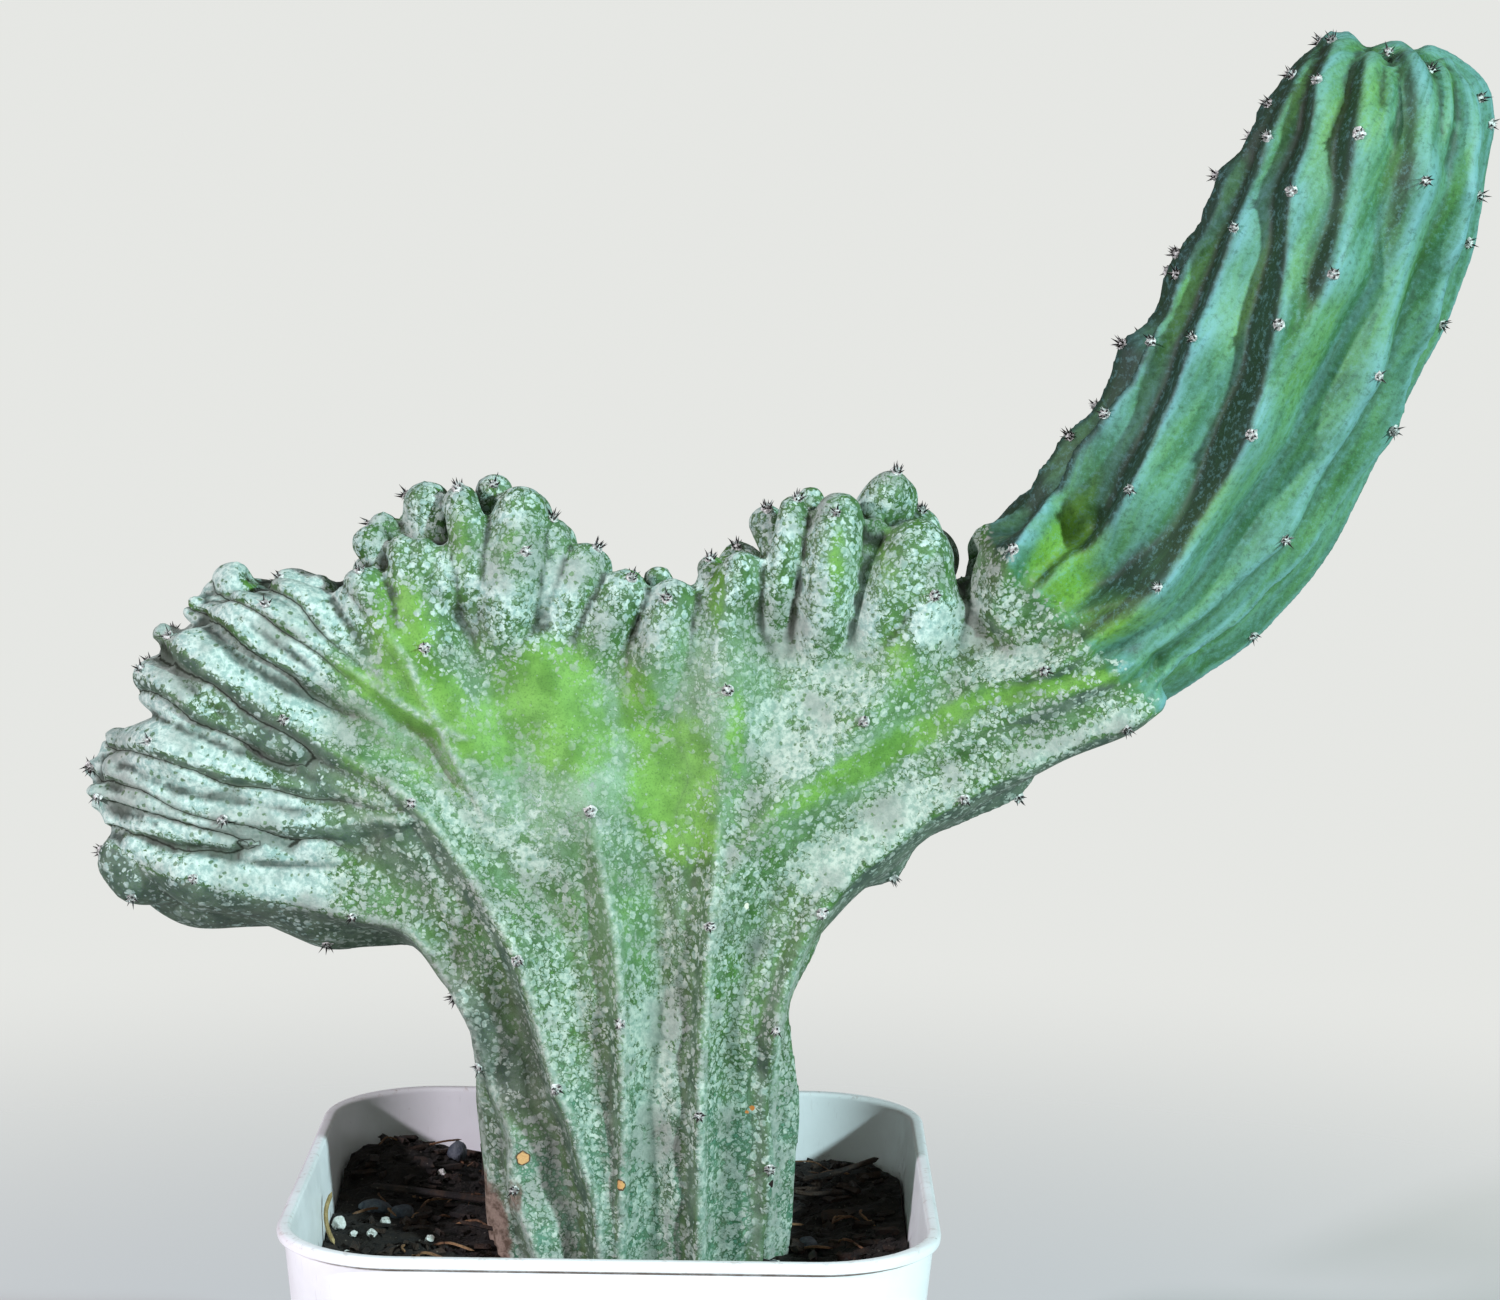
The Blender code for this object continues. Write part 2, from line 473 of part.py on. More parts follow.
def add_sausage(bm, stations):
    """A round finger through stations of x, z, depth and radius."""
    path = smooth_path(to_vectors(stations), PATH_STEP / 2)
    centres = [seen_from_eye(x, z, y) for x, z, y, _ in path]
    steps = [(b - a).length for a, b in zip(centres, centres[1:])]
    acrosses = []
    outs = []
    for i, (_, _, _, radius) in enumerate(path):
        along = (centres[min(i + 1, len(path) - 1)] - centres[max(i - 1, 0)]).normalized()
        across = along.cross(Vector((0, 1, 0))).normalized()
        drawn_in = radius * end_rounding(sum(steps[:i]), sum(steps), radius)
        acrosses.append(across * drawn_in)
        outs.append(along.cross(across) * drawn_in)
    add_swept(bm, centres, acrosses, outs, [2.0] * len(path))


def add_bud(bm, x, z, y, radius):
    """A bud at the end of a neck that rises from the nearest part of the core."""
    root = nearest_on_core(x, z)
    neck = Vector((root.x, root.y, y / 2, BUD_NECK * radius))
    tip = Vector((x, z, y, radius))
    add_sausage(bm, [neck, neck.lerp(tip, 0.5), tip, tip + (tip - neck) * (radius / (tip - neck).length)])


def behind(stations):
    """A finger's stations for its twin behind the crest."""
    return [
        (x + BACK_SHIFT, z - BACK_SHIFT, BACK_FINGER_DEPTH - y, radius)
        for x, z, y, radius in stations
    ]


def add_column(bm, stations):
    """A round core through stations of x, z, half width and half depth."""
    path = smooth_path(to_vectors(stations), PATH_STEP)
    centres = [Vector((x, 0, z)) for x, z, _, _ in path]
    steps = [(b - a).length for a, b in zip(centres, centres[1:])]
    acrosses = []
    outs = []
    for i, (_, _, half_width, half_depth) in enumerate(path):
        along = (centres[min(i + 1, len(path) - 1)] - centres[max(i - 1, 0)]).normalized()
        drawn_in = end_rounding(sum(steps[:i]), sum(steps), half_depth)
        acrosses.append(along.cross(Vector((0, 1, 0))) * half_width * drawn_in)
        outs.append(Vector((0, 1, 0)) * half_depth * drawn_in)
    add_swept(bm, centres, acrosses, outs, [2.0] * len(path))


def add_sheet(bm):
    """The flat sheet: its outline as a filled curve with rounded edges, stood upright."""
    curve = bpy.data.curves.new("sheet", "CURVE")
    curve.dimensions = "2D"
    curve.fill_mode = "BOTH"
    curve.extrude = SHEET_EXTRUDE
    curve.bevel_depth = SHEET_BEVEL
    curve.bevel_resolution = SHEET_BEVEL_STEPS
    spline = curve.splines.new("POLY")
    spline.points.add(len(SHEET) - 1)
    for point, (x, z) in zip(spline.points, SHEET):
        point.co = (x, z, 0, 1)
    spline.use_cyclic_u = True
    obj = bpy.data.objects.new("sheet", curve)
    bpy.context.scene.collection.objects.link(obj)
    mesh = bpy.data.meshes.new_from_object(obj.evaluated_get(bpy.context.evaluated_depsgraph_get()))
    bpy.data.objects.remove(obj)
    bpy.data.curves.remove(curve)
    mesh.transform(Matrix.Rotation(math.pi / 2, 4, "X"))
    bm.from_mesh(mesh)
    bpy.data.meshes.remove(mesh)
    bmesh.ops.remove_doubles(bm, verts=bm.verts, dist=SAME_POINT)


def rib_lines():
    """Every rib as (ridge, core, widths, keenness, keenness at the tip): front, back, silhouette."""
    front = []
    back = []
    edge = []
    for keen, keen_tip, stations in FRONT_RIBS.values():
        ridge, core, widths = ridge_of(stations, front_depth)
        front.append((ridge, core, widths, keen, keen_tip))
        back.append((to_back(ridge, BACK_WARP), to_back(core, 0), widths, keen, keen_tip))
    for keen, keen_tip, stations in EDGE_RIBS.values():
        edge.append((*ridge_of(stations, own_depth, EDGE_WAVE), keen, keen_tip))
    return front, back, edge


def all_grown_shapes():
    bm = bmesh.new()
    add_sheet(bm)
    for stations in CORES:
        add_column(bm, stations)
    for lines in rib_lines():
        for line in lines:
            add_rib(bm, *line)
    for stations in FINGERS:
        add_sausage(bm, stations)
        add_sausage(bm, behind(stations))
    for x, z, y, radius in BUDS:
        add_bud(bm, x, z, y, radius)
    bmesh.ops.translate(bm, vec=(0, 0, SOIL_LEVEL), verts=bm.verts)
    bmesh.ops.scale(bm, vec=(MM, MM, MM), verts=bm.verts)
    return bm


def new_object(name, bm, collection):
    mesh = bpy.data.meshes.new(name)
    bm.to_mesh(mesh)
    bm.free()
    obj = bpy.data.objects.new(name, mesh)
    collection.objects.link(obj)
    return obj


def apply_modifiers(obj):
    """Put the evaluated mesh in place of the object's own and clear its modifiers."""
    evaluated = obj.evaluated_get(bpy.context.evaluated_depsgraph_get())
    mesh = bpy.data.meshes.new_from_object(evaluated)
    old = obj.data
    obj.modifiers.clear()
    obj.data = mesh
    bpy.data.meshes.remove(old)
    mesh.name = obj.name


def place(p):
    """A point of the ridge layout as a point of the scene."""
    return (p + Vector((0, 0, SOIL_LEVEL))) * MM


def cactus_body(collection):
    obj = new_object("cactus", all_grown_shapes(), collection)
    remesh = obj.modifiers.new("grow_together", "REMESH")
    remesh.mode = "VOXEL"
    remesh.voxel_size = VOXEL * MM
    smooth = obj.modifiers.new("soften", "SMOOTH")
    smooth.factor = SMOOTH_FACTOR
    smooth.iterations = SMOOTH_STEPS
    apply_modifiers(obj)
    return obj


def areole_spots(body):
    """Where each areole sits on the body and which way it faces, in front and behind."""
    bm = bmesh.new()
    bm.from_mesh(body.data)
    tree = BVHTree.FromBMesh(bm)
    bm.free()
    eye = place(EYE)
    front = []
    back = []
    for x, z in AREOLES:
        seen = place(Vector((x, 0, z)))
        spot, normal, _, _ = tree.ray_cast(eye, seen - eye)
        if spot is None:
            spot, normal, _, _ = tree.find_nearest(seen)
        front.append((spot, normal))
        start = Vector((spot.x, -EYE.y * MM, spot.z))
        spot, normal, _, _ = tree.ray_cast(start, Vector((0, -1, 0)))
        if spot is not None and normal.y > BACK_FACING:
            back.append((spot, normal))
    return front, back


def areole(spot, normal, random_turn, collection):
    """A pad of wool with spines drawn out of its faces, its root sunk in the skin."""
    bm = bmesh.new()
    bmesh.ops.create_icosphere(bm, subdivisions=1, radius=AREOLE_RADIUS * MM)
    turn = Matrix.Rotation(random_turn, 4, "Z")
    bmesh.ops.transform(bm, matrix=turn @ Matrix.Diagonal((1, 1, AREOLE_FLATNESS, 1)), verts=bm.verts)
    bm.normal_update()
    upper = [f for f in bm.faces if f.normal.z > SPINE_FACES_UP]
    upper.sort(key=lambda f: math.atan2(f.normal.y, f.normal.x))
    chosen = upper[:: max(1, len(upper) // SPINES_PER_AREOLE)][:SPINES_PER_AREOLE]
    bmesh.ops.inset_individual(bm, faces=chosen, thickness=SPINE_INSET * MM)
    for face in chosen:
        out = (face.normal + face.calc_center_median().normalized()).normalized()
        point = bmesh.ops.poke(bm, faces=[face])["verts"][0]
        point.co += out * SPINE_LENGTH * MM
    facing = normal.to_track_quat("Z", "Y").to_matrix().to_4x4()
    bmesh.ops.transform(bm, matrix=Matrix.Translation(spot) @ facing, verts=bm.verts)
    return new_object("areole", bm, collection)


def join_areoles(body, spots, collection):
    """Grow the areoles onto the body as one solid."""
    chance = random.Random(SEED)
    for spot, normal in spots:
        areole(spot, normal, chance.uniform(0, math.tau), collection)
    union = body.modifiers.new("areoles", "BOOLEAN")
    union.operation = "UNION"
    union.operand_type = "COLLECTION"
    union.collection = collection
    union.solver = "MANIFOLD"
    apply_modifiers(body)
    for obj in list(collection.objects):
        bpy.data.objects.remove(obj)


def thin_out(body, triangles):
    """Bring the body down to about this many triangles."""
    body.data.calc_loop_triangles()
    decimate = body.modifiers.new("fewer", "DECIMATE")
    decimate.ratio = triangles / len(body.data.loop_triangles)
    apply_modifiers(body)


def rounded_square(bm, half_width):
    """One flat face with round corners, in the XY plane."""
    bmesh.ops.create_grid(bm, x_segments=1, y_segments=1, size=half_width)
    bmesh.ops.bevel(
        bm, geom=bm.verts[:], offset=half_width * RIM_CORNER / (POT_WIDTH / 2), segments=CORNER_STEPS,
        profile=0.5, affect="VERTICES", offset_type="OFFSET", material=-1,
    )


def raise_rings(bm, rings):
    """Draw a face's edge through rings of half width and height, close the last, and scale."""
    half_width, height = rings[0]
    edges = bm.edges[:]
    bmesh.ops.translate(bm, vec=(0, 0, height), verts=bm.verts)
    for next_half, next_height in rings[1:]:
        drawn = bmesh.ops.extrude_edge_only(bm, edges=edges)["geom"]
        verts = [g for g in drawn if isinstance(g, bmesh.types.BMVert)]
        edges = [g for g in drawn if isinstance(g, bmesh.types.BMEdge)]
        edges = [e for e in edges if all(v in verts for v in e.verts)]
        grow = next_half / half_width
        bmesh.ops.scale(bm, vec=(grow, grow, 1), verts=verts)
        bmesh.ops.translate(bm, vec=(0, 0, next_height - height), verts=verts)
        half_width, height = next_half, next_height
    bmesh.ops.edgeloop_fill(bm, edges=edges)
    bmesh.ops.recalc_face_normals(bm, faces=bm.faces)
    bmesh.ops.scale(bm, vec=(MM, MM, MM), verts=bm.verts)


def wall_outside(height):
    """The half width of the pot's outer wall at a height."""
    return lerp(POT_BASE_WIDTH / 2, POT_WIDTH / 2 - RIM_REACH, height / POT_HEIGHT)


def wall_inside(height):
    return wall_outside(height) - POT_WALL


def pot(collection, cutters):
    """The pot: a tapered wall drawn from its base up over the rim and down inside, and drains."""
    rim_half = POT_WIDTH / 2
    rings = [
        (wall_outside(0) - BASE_FILLET, 0),
        (wall_outside(0) - ROUND_SHARE * BASE_FILLET, ROUND_SHARE * BASE_FILLET),
        (wall_outside(BASE_FILLET), BASE_FILLET),
        (wall_outside(POT_HEIGHT - RIM_DEPTH), POT_HEIGHT - RIM_DEPTH),
        (rim_half - ROUND_SHARE * RIM_REACH, POT_HEIGHT - RIM_DEPTH + ROUND_SHARE * RIM_REACH),
        (rim_half, POT_HEIGHT - RIM_DEPTH + RIM_REACH),
        (rim_half, POT_HEIGHT - RIM_ROUND),
        (rim_half - ROUND_SHARE * RIM_ROUND, POT_HEIGHT - ROUND_SHARE * RIM_ROUND),
        (rim_half - RIM_ROUND, POT_HEIGHT),
        (wall_inside(POT_HEIGHT) + RIM_ROUND, POT_HEIGHT),
        (wall_inside(POT_HEIGHT), POT_HEIGHT - RIM_ROUND),
        (wall_inside(FLOOR_THICKNESS), FLOOR_THICKNESS),
    ]
    bm = bmesh.new()
    rounded_square(bm, rings[0][0])
    raise_rings(bm, rings)
    obj = new_object("pot", bm, collection)
    drains = bmesh.new()
    for across, along in ((-1, -1), (1, -1), (1, 1), (-1, 1)):
        hole = Matrix.Translation(Vector((across, along, 0)) * DRAIN_SPACING / 2 * MM)
        bmesh.ops.create_cone(
            drains, cap_ends=True, segments=DRAIN_SIDES, radius1=DRAIN_RADIUS * MM,
            radius2=DRAIN_RADIUS * MM, depth=DRAIN_CUTTER_LENGTH * MM, matrix=hole,
        )
    cutter = new_object("drain_holes", drains, cutters)
    cut(obj, cutter, "drains")


def cut(obj, cutter, name):
    """Cut one object out of another and remove the cutter."""
    cutter.hide_render = True
    cutter.display_type = "WIRE"
    boolean = obj.modifiers.new(name, "BOOLEAN")
    boolean.operation = "DIFFERENCE"
    boolean.object = cutter
    apply_modifiers(obj)
    bpy.data.objects.remove(cutter)


def soil_height(x, y):
    """The lumpy top of the soil: a slow swell and crumbs."""
    slow = noise.noise(Vector((x, y, 0)) * SWELL_SCALE) * SWELL
    crumbs = noise.cell(Vector((x, y, SEED)) * CRUMB_SCALE) * CRUMB
    return SOIL_LEVEL + slow + crumbs


def to_rounded_square(u, v, half_width):
    """A point of the square from -1 to 1 laid inside a square with round corners."""
    edge = max(abs(u), abs(v), 1e-6)
    x = u / edge * half_width
    y = v / edge * half_width
    corner = half_width * RIM_CORNER / (POT_WIDTH / 2)
    flat = half_width - corner
    if abs(x) > flat and abs(y) > flat:
        centre = Vector((math.copysign(flat, x), math.copysign(flat, y)))
        out = (Vector((x, y)) - centre).normalized() * corner
        x, y = centre + out
    return x * edge, y * edge


def swollen_copy(body, cutters):
    """The plant's shape a little larger all round, which cuts its hole in the soil."""
    stem = body.copy()
    stem.data = body.data.copy()
    cutters.objects.link(stem)
    swell = stem.modifiers.new("seat", "DISPLACE")
    swell.strength = STEM_GAP * MM
    swell.mid_level = 0
    apply_modifiers(stem)
    thin_out(stem, STEM_TRIANGLES)
    return stem


def soil(collection, stem):
    """The soil: a block that fills the pot's inside, with a lumpy top and the stem's hole."""
    bm = bmesh.new()
    bmesh.ops.create_grid(bm, x_segments=SOIL_GRID, y_segments=SOIL_GRID, size=1)
    drawn = bmesh.ops.extrude_face_region(bm, geom=bm.faces[:])["geom"]
    top = {g for g in drawn if isinstance(g, bmesh.types.BMVert)}
    floor_half = wall_inside(FLOOR_THICKNESS) - SEAT_GAP
    top_half = wall_inside(SOIL_LEVEL) - SEAT_GAP
    for vert in bm.verts:
        if vert in top:
            x, y = to_rounded_square(vert.co.x, vert.co.y, top_half)
            vert.co = (x, y, soil_height(x, y))
        else:
            x, y = to_rounded_square(vert.co.x, vert.co.y, floor_half)
            vert.co = (x, y, FLOOR_THICKNESS + SEAT_GAP)
    bmesh.ops.scale(bm, vec=(MM, MM, MM), verts=bm.verts)
    bmesh.ops.recalc_face_normals(bm, faces=bm.faces)
    flat = [f for f in bm.faces if f.normal.z < FACING_DOWN]
    bmesh.ops.dissolve_faces(bm, faces=flat)
    obj = new_object("soil", bm, collection)
    cut(obj, stem, "stem_hole")


def paint(obj):
    name, colour, roughness = FINISHES[obj.name]
    material = bpy.data.materials.new(name)
    material.use_nodes = True
    shader = material.node_tree.nodes["Principled BSDF"]
    shader.inputs["Base Color"].default_value = (*colour, 1)
    shader.inputs["Roughness"].default_value = roughness
    obj.data.materials.clear()
    obj.data.materials.append(material)
    obj.data.shade_smooth()
    obj.data.set_sharp_from_angle(angle=math.radians(SHARP_ANGLE))


def main():
    noise.seed_set(SEED)
    for obj in list(bpy.data.objects):
        bpy.data.objects.remove(obj)
    collection = bpy.data.collections.new("potted_cactus")
    bpy.context.scene.collection.children.link(collection)
    helpers = bpy.data.collections.new("helpers")
    bpy.context.scene.collection.children.link(helpers)
    body = cactus_body(collection)
    front, back = areole_spots(body)
    stem = swollen_copy(body, helpers)
    thin_out(body, BODY_TRIANGLES)
    soil(collection, stem)
    join_areoles(body, [*front[FRONT_AREOLES], *back[BACK_AREOLES]], helpers)
    pot(collection, helpers)
    for obj in collection.objects:
        paint(obj)
    bpy.data.collections.remove(helpers)


main()
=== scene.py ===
# %% [markdown]
# # A crested blue candle cactus in a square white pot
#
# The plant is one grown body: a flattened trunk that opens into a fan with a crinkled crest, and
# one normal ribbed arm that rises from the crest's right end. The skin carries a pale, flaky
# crust on the fan and a smooth blue bloom on the arm. Small pads of white wool with short dark
# spines sit along every ridge. The plant stands in a dark bark mix in a white plastic pot.
#
# Each step below first says what the piece is on the real thing and why it is made that way.

# %% Load the frame and note its size
import json
import math
import random

import bmesh
import bpy
import numpy as np
from mathutils import Matrix, Vector, noise
from mathutils.bvhtree import BVHTree

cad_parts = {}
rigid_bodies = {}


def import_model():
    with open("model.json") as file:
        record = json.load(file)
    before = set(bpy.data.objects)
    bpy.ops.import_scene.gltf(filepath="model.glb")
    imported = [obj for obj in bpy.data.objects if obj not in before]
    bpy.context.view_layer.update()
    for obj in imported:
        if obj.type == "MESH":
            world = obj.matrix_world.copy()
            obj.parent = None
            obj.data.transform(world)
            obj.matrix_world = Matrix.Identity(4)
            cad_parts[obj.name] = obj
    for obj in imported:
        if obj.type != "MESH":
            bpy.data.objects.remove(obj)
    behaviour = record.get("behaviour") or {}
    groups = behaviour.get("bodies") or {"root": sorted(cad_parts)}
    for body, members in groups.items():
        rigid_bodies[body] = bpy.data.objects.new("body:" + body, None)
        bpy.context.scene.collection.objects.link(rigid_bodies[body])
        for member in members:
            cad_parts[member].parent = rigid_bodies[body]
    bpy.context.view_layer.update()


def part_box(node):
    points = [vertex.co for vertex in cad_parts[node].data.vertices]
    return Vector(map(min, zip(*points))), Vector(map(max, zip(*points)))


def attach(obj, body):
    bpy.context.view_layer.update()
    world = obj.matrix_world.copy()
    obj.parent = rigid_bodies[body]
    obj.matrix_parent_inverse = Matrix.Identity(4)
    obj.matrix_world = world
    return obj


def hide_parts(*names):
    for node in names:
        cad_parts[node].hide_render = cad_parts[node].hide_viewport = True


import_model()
MM = 0.001
SEED = 7
POT_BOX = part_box("pot")
SOIL_LEVEL = 105.0
noise.seed_set(SEED)
print("the pot's box:", POT_BOX)

# %% [markdown]
# ## Camera, floor and light
#
# The photo was taken with a long lens from about 0.87 m, a little above the plant and looking
# 8 degrees down. The pot's inner walls show where the light came from: each back corner holds a
# slanted shadow of its own side wall, so there were two rather small lights, one at each side of
# the camera and 25 degrees above it. The right one is stronger and tinted cyan, the left one is
# tinted pink: the pot's white back wall shows both tints, each where only one light reaches it.
# The floor is a pale disc that fades out into an even pale sky, so no horizon cuts through the
# picture, and the sky's own light only fills the shadows.

# %% Camera
EYE = Vector((30.0, -868.0, 267.0))
LENS, FILM_WIDTH = 90, 36
LOOKS_DOWN, LEANS = 8, 0.8
SEES_FROM, SEES_TO = 0.02, 60


def in_scene(point):
    """A point of the layout, in mm with z from the soil, as a point of the scene."""
    return (Vector(point) + Vector((0, 0, SOIL_LEVEL))) * MM


def link(obj):
    """Put an object into the scene."""
    bpy.context.scene.collection.objects.link(obj)
    return obj


camera_data = bpy.data.cameras.new("photo_camera")
camera_data.lens, camera_data.sensor_width = LENS, FILM_WIDTH
camera_data.clip_start, camera_data.clip_end = SEES_FROM, SEES_TO
camera = link(bpy.data.objects.new("photo_camera", camera_data))
tilt = Matrix.Rotation(math.radians(90 - LOOKS_DOWN), 4, "X")
roll = Matrix.Rotation(math.radians(LEANS), 4, "Z")
camera.matrix_world = Matrix.Translation(in_scene(EYE)) @ (tilt @ roll)
bpy.context.scene.camera = camera
print("camera at", [round(v, 3) for v in camera.location])

# %% Helpers for materials
def screen(red, green, blue):
    """A colour as it looks on a screen, from 0 to 255, turned into the light values shaders use."""
    def to_light(value):
        value /= 255
        return value / 12.92 if value <= 0.04045 else ((value + 0.055) / 1.055) ** 2.4
    return (to_light(red), to_light(green), to_light(blue), 1.0)


def put(tree, kind, inputs=None, **settings):
    """Add a shader node, set its options, and give its inputs values or other nodes' outputs."""
    made = tree.nodes.new("ShaderNode" + kind)
    for option, value in settings.items():
        setattr(made, option, value)
    for name, value in (inputs or {}).items():
        if isinstance(value, bpy.types.NodeSocket):
            tree.links.new(value, made.inputs[name])
        else:
            made.inputs[name].default_value = value
    return made


def add(kind, inputs, **settings):
    """Add a shader node to the tree that the sockets among its inputs belong to."""
    sockets = [value for value in inputs.values() if isinstance(value, bpy.types.NodeSocket)]
    return put(sockets[0].id_data, kind, inputs, **settings)


def between(value, low, high, to_low=0.0, to_high=1.0):
    """A value turned smoothly from one range into another, and held at its ends."""
    return add("MapRange", {
        "Value": value, "From Min": low, "From Max": high, "To Min": to_low, "To Max": to_high,
    }, interpolation_type="SMOOTHSTEP").outputs[0]


def object_place(tree):
    """Where a point of the surface is on its own object."""
    return put(tree, "TexCoord").outputs["Object"]


def new_material(name):
    """A material with only its Principled shader: the material, its node tree and the shader."""
    material = bpy.data.materials.new(name)
    material.use_nodes = True
    return material, material.node_tree, material.node_tree.nodes["Principled BSDF"]


# %% Floor, sky and the two lights
FLOOR_RADIUS, FLOOR_SIDES = 3.0, 64
FLOOR_FADE = (0.16, 0.8)
FLOOR_TONE = (0.72, 0.72, 0.71, 1)
BACKDROP_TONE = (0.79, 0.80, 0.775, 1)
SKY_STRENGTH = 0.2
LIGHTS_AIM = (0.03, 0, 0.22)
LIGHTS_SIZE = 0.09
# Lights: name, place, power and tint
LIGHTS = [
    ("right_light", (1.24, -1.16, 0.9), 37.5, (0.7, 0.94, 1.0)),
    ("left_light", (-1.24, -1.16, 0.82), 28, (0.94, 0.86, 1.0)),
]

floor_mesh = bmesh.new()
bmesh.ops.create_circle(floor_mesh, cap_ends=True, segments=FLOOR_SIDES, radius=FLOOR_RADIUS)
floor_data = bpy.data.meshes.new("floor")
floor_mesh.to_mesh(floor_data)
floor_mesh.free()
floor = link(bpy.data.objects.new("floor", floor_data))
floor_paint, floor_tree, floor_shader = new_material("pale_floor")
floor_shader.inputs["Base Color"].default_value = FLOOR_TONE
floor_shader.inputs["Roughness"].default_value = 0.9
floor_away = add("VectorMath", {0: object_place(floor_tree)}, operation="LENGTH").outputs["Value"]
floor_tree.links.new(between(floor_away, *FLOOR_FADE, 1.0, 0.0), floor_shader.inputs["Alpha"])
floor.data.materials.append(floor_paint)

sky = bpy.data.worlds.new("studio")
sky.use_nodes = True
bpy.context.scene.world = sky
sky_tree = sky.node_tree
sky_light = sky_tree.nodes["Background"]
sky_light.inputs["Strength"].default_value = SKY_STRENGTH
sky_light.inputs["Color"].default_value = (1, 1, 1, 1)
backdrop = put(sky_tree, "Background", {"Color": BACKDROP_TONE, "Strength": 1.0})
sky_mix = put(sky_tree, "MixShader", {
    0: put(sky_tree, "LightPath").outputs["Is Camera Ray"],
    1: sky_light.outputs[0], 2: backdrop.outputs[0]})
sky_tree.links.new(sky_mix.outputs[0], sky_tree.nodes["World Output"].inputs["Surface"])
bpy.context.scene.view_settings.view_transform = "Standard"

for name, stands_at, power, tint in LIGHTS:
    lamp_data = bpy.data.lights.new(name, "AREA")
    lamp_data.size, lamp_data.energy, lamp_data.color = LIGHTS_SIZE, power, tint
    turned = (Vector(LIGHTS_AIM) - Vector(stands_at)).to_track_quat("-Z", "Y").to_matrix().to_4x4()
    link(bpy.data.objects.new(name, lamp_data)).matrix_world = Matrix.Translation(stands_at) @ turned
print("lights:", [lamp.name for lamp in bpy.data.lights])

# %% [markdown]
# ## The plant's body
#
# A cactus is one skin over one mass of flesh, so it is made as one closed mesh. Sculpting it by
# hand would lose the real ridge lines, and a height map would flatten the sides. Instead every
# rib is a long keel swept along its own ridge line, the keels overlap one another and a flat
# core, and a voxel remesh grows them together, the way real ribs share their roots.
#
# The lines are laid out as a drawing in the plane of the fan: x to the right and z up from the
# soil, in mm, as they look from the camera. A ridge that stands in front of the core is pushed
# towards the eye along its line of sight, so it keeps its place in the picture.

# %% The flat sheet, the arm's axis and the round cores
# The flat sheet inside the trunk and the fan, as an outline in the fan's plane
SHEET = [
    (-2, -30), (-2, 48), (-12, 68), (-30, 86), (-60, 93), (-100, 94), (-106, 104), (-103, 117),
    (-97, 132), (-87, 146), (-74, 149), (-60, 154), (-46, 164), (-25, 166), (-9, 152), (8, 147),
    (20, 151), (35, 162), (50, 169), (63, 166), (70, 155), (84, 155), (100, 156), (108, 140),
    (88, 127), (66, 112), (46, 95), (28, 74), (14, 48), (14, -30),
]
# Half the flat sheet's thickness is its extrusion and its rounded edge
SHEET_EXTRUDE = 6.0
SHEET_BEVEL = 5.0
SHEET_BEVEL_STEPS = 2

# The arm's axis, which starts inside the sheet
ARM_AXIS = [(98, 144), (114, 157), (130, 178), (146, 204), (157, 228), (167, 250), (172, 262)]

# Round cores inside the ribs: x, z, half width and half depth
CORES = [
    [(2, -36, 20, 15), (4, 0, 28, 21), (4, 40, 28, 21), (2, 70, 31, 20), (-2, 104, 30, 14)],
    [(-4, 78, 22, 18), (-38, 98, 24, 16.5), (-70, 111, 26, 14), (-104, 116, 18, 10)],
    [(-4, 80, 26, 19), (-16, 108, 30, 18), (-27, 132, 28, 15), (-34, 164, 20, 8)],
    [(8, 85, 26, 19), (14, 112, 24, 17.5), (10, 130, 22, 14), (10, 152, 18, 8)],
    [(16, 82, 20, 19), (36, 112, 24, 17.5), (50, 138, 24, 14), (55, 174, 16, 8)],
    [(18, 74, 14, 18), (54, 112, 13, 16), (96, 136, 15, 16)],
    [(92, 140, 15, 13), (114, 157, 18, 17), (130, 178, 20, 20), (146, 204, 21, 21),
     (157, 228, 21, 21), (166, 250, 20.5, 20.5), (172, 268, 18, 18), (174, 280, 13, 13)],
]

print("outline points of the sheet:", len(SHEET), "cores:", len(CORES))

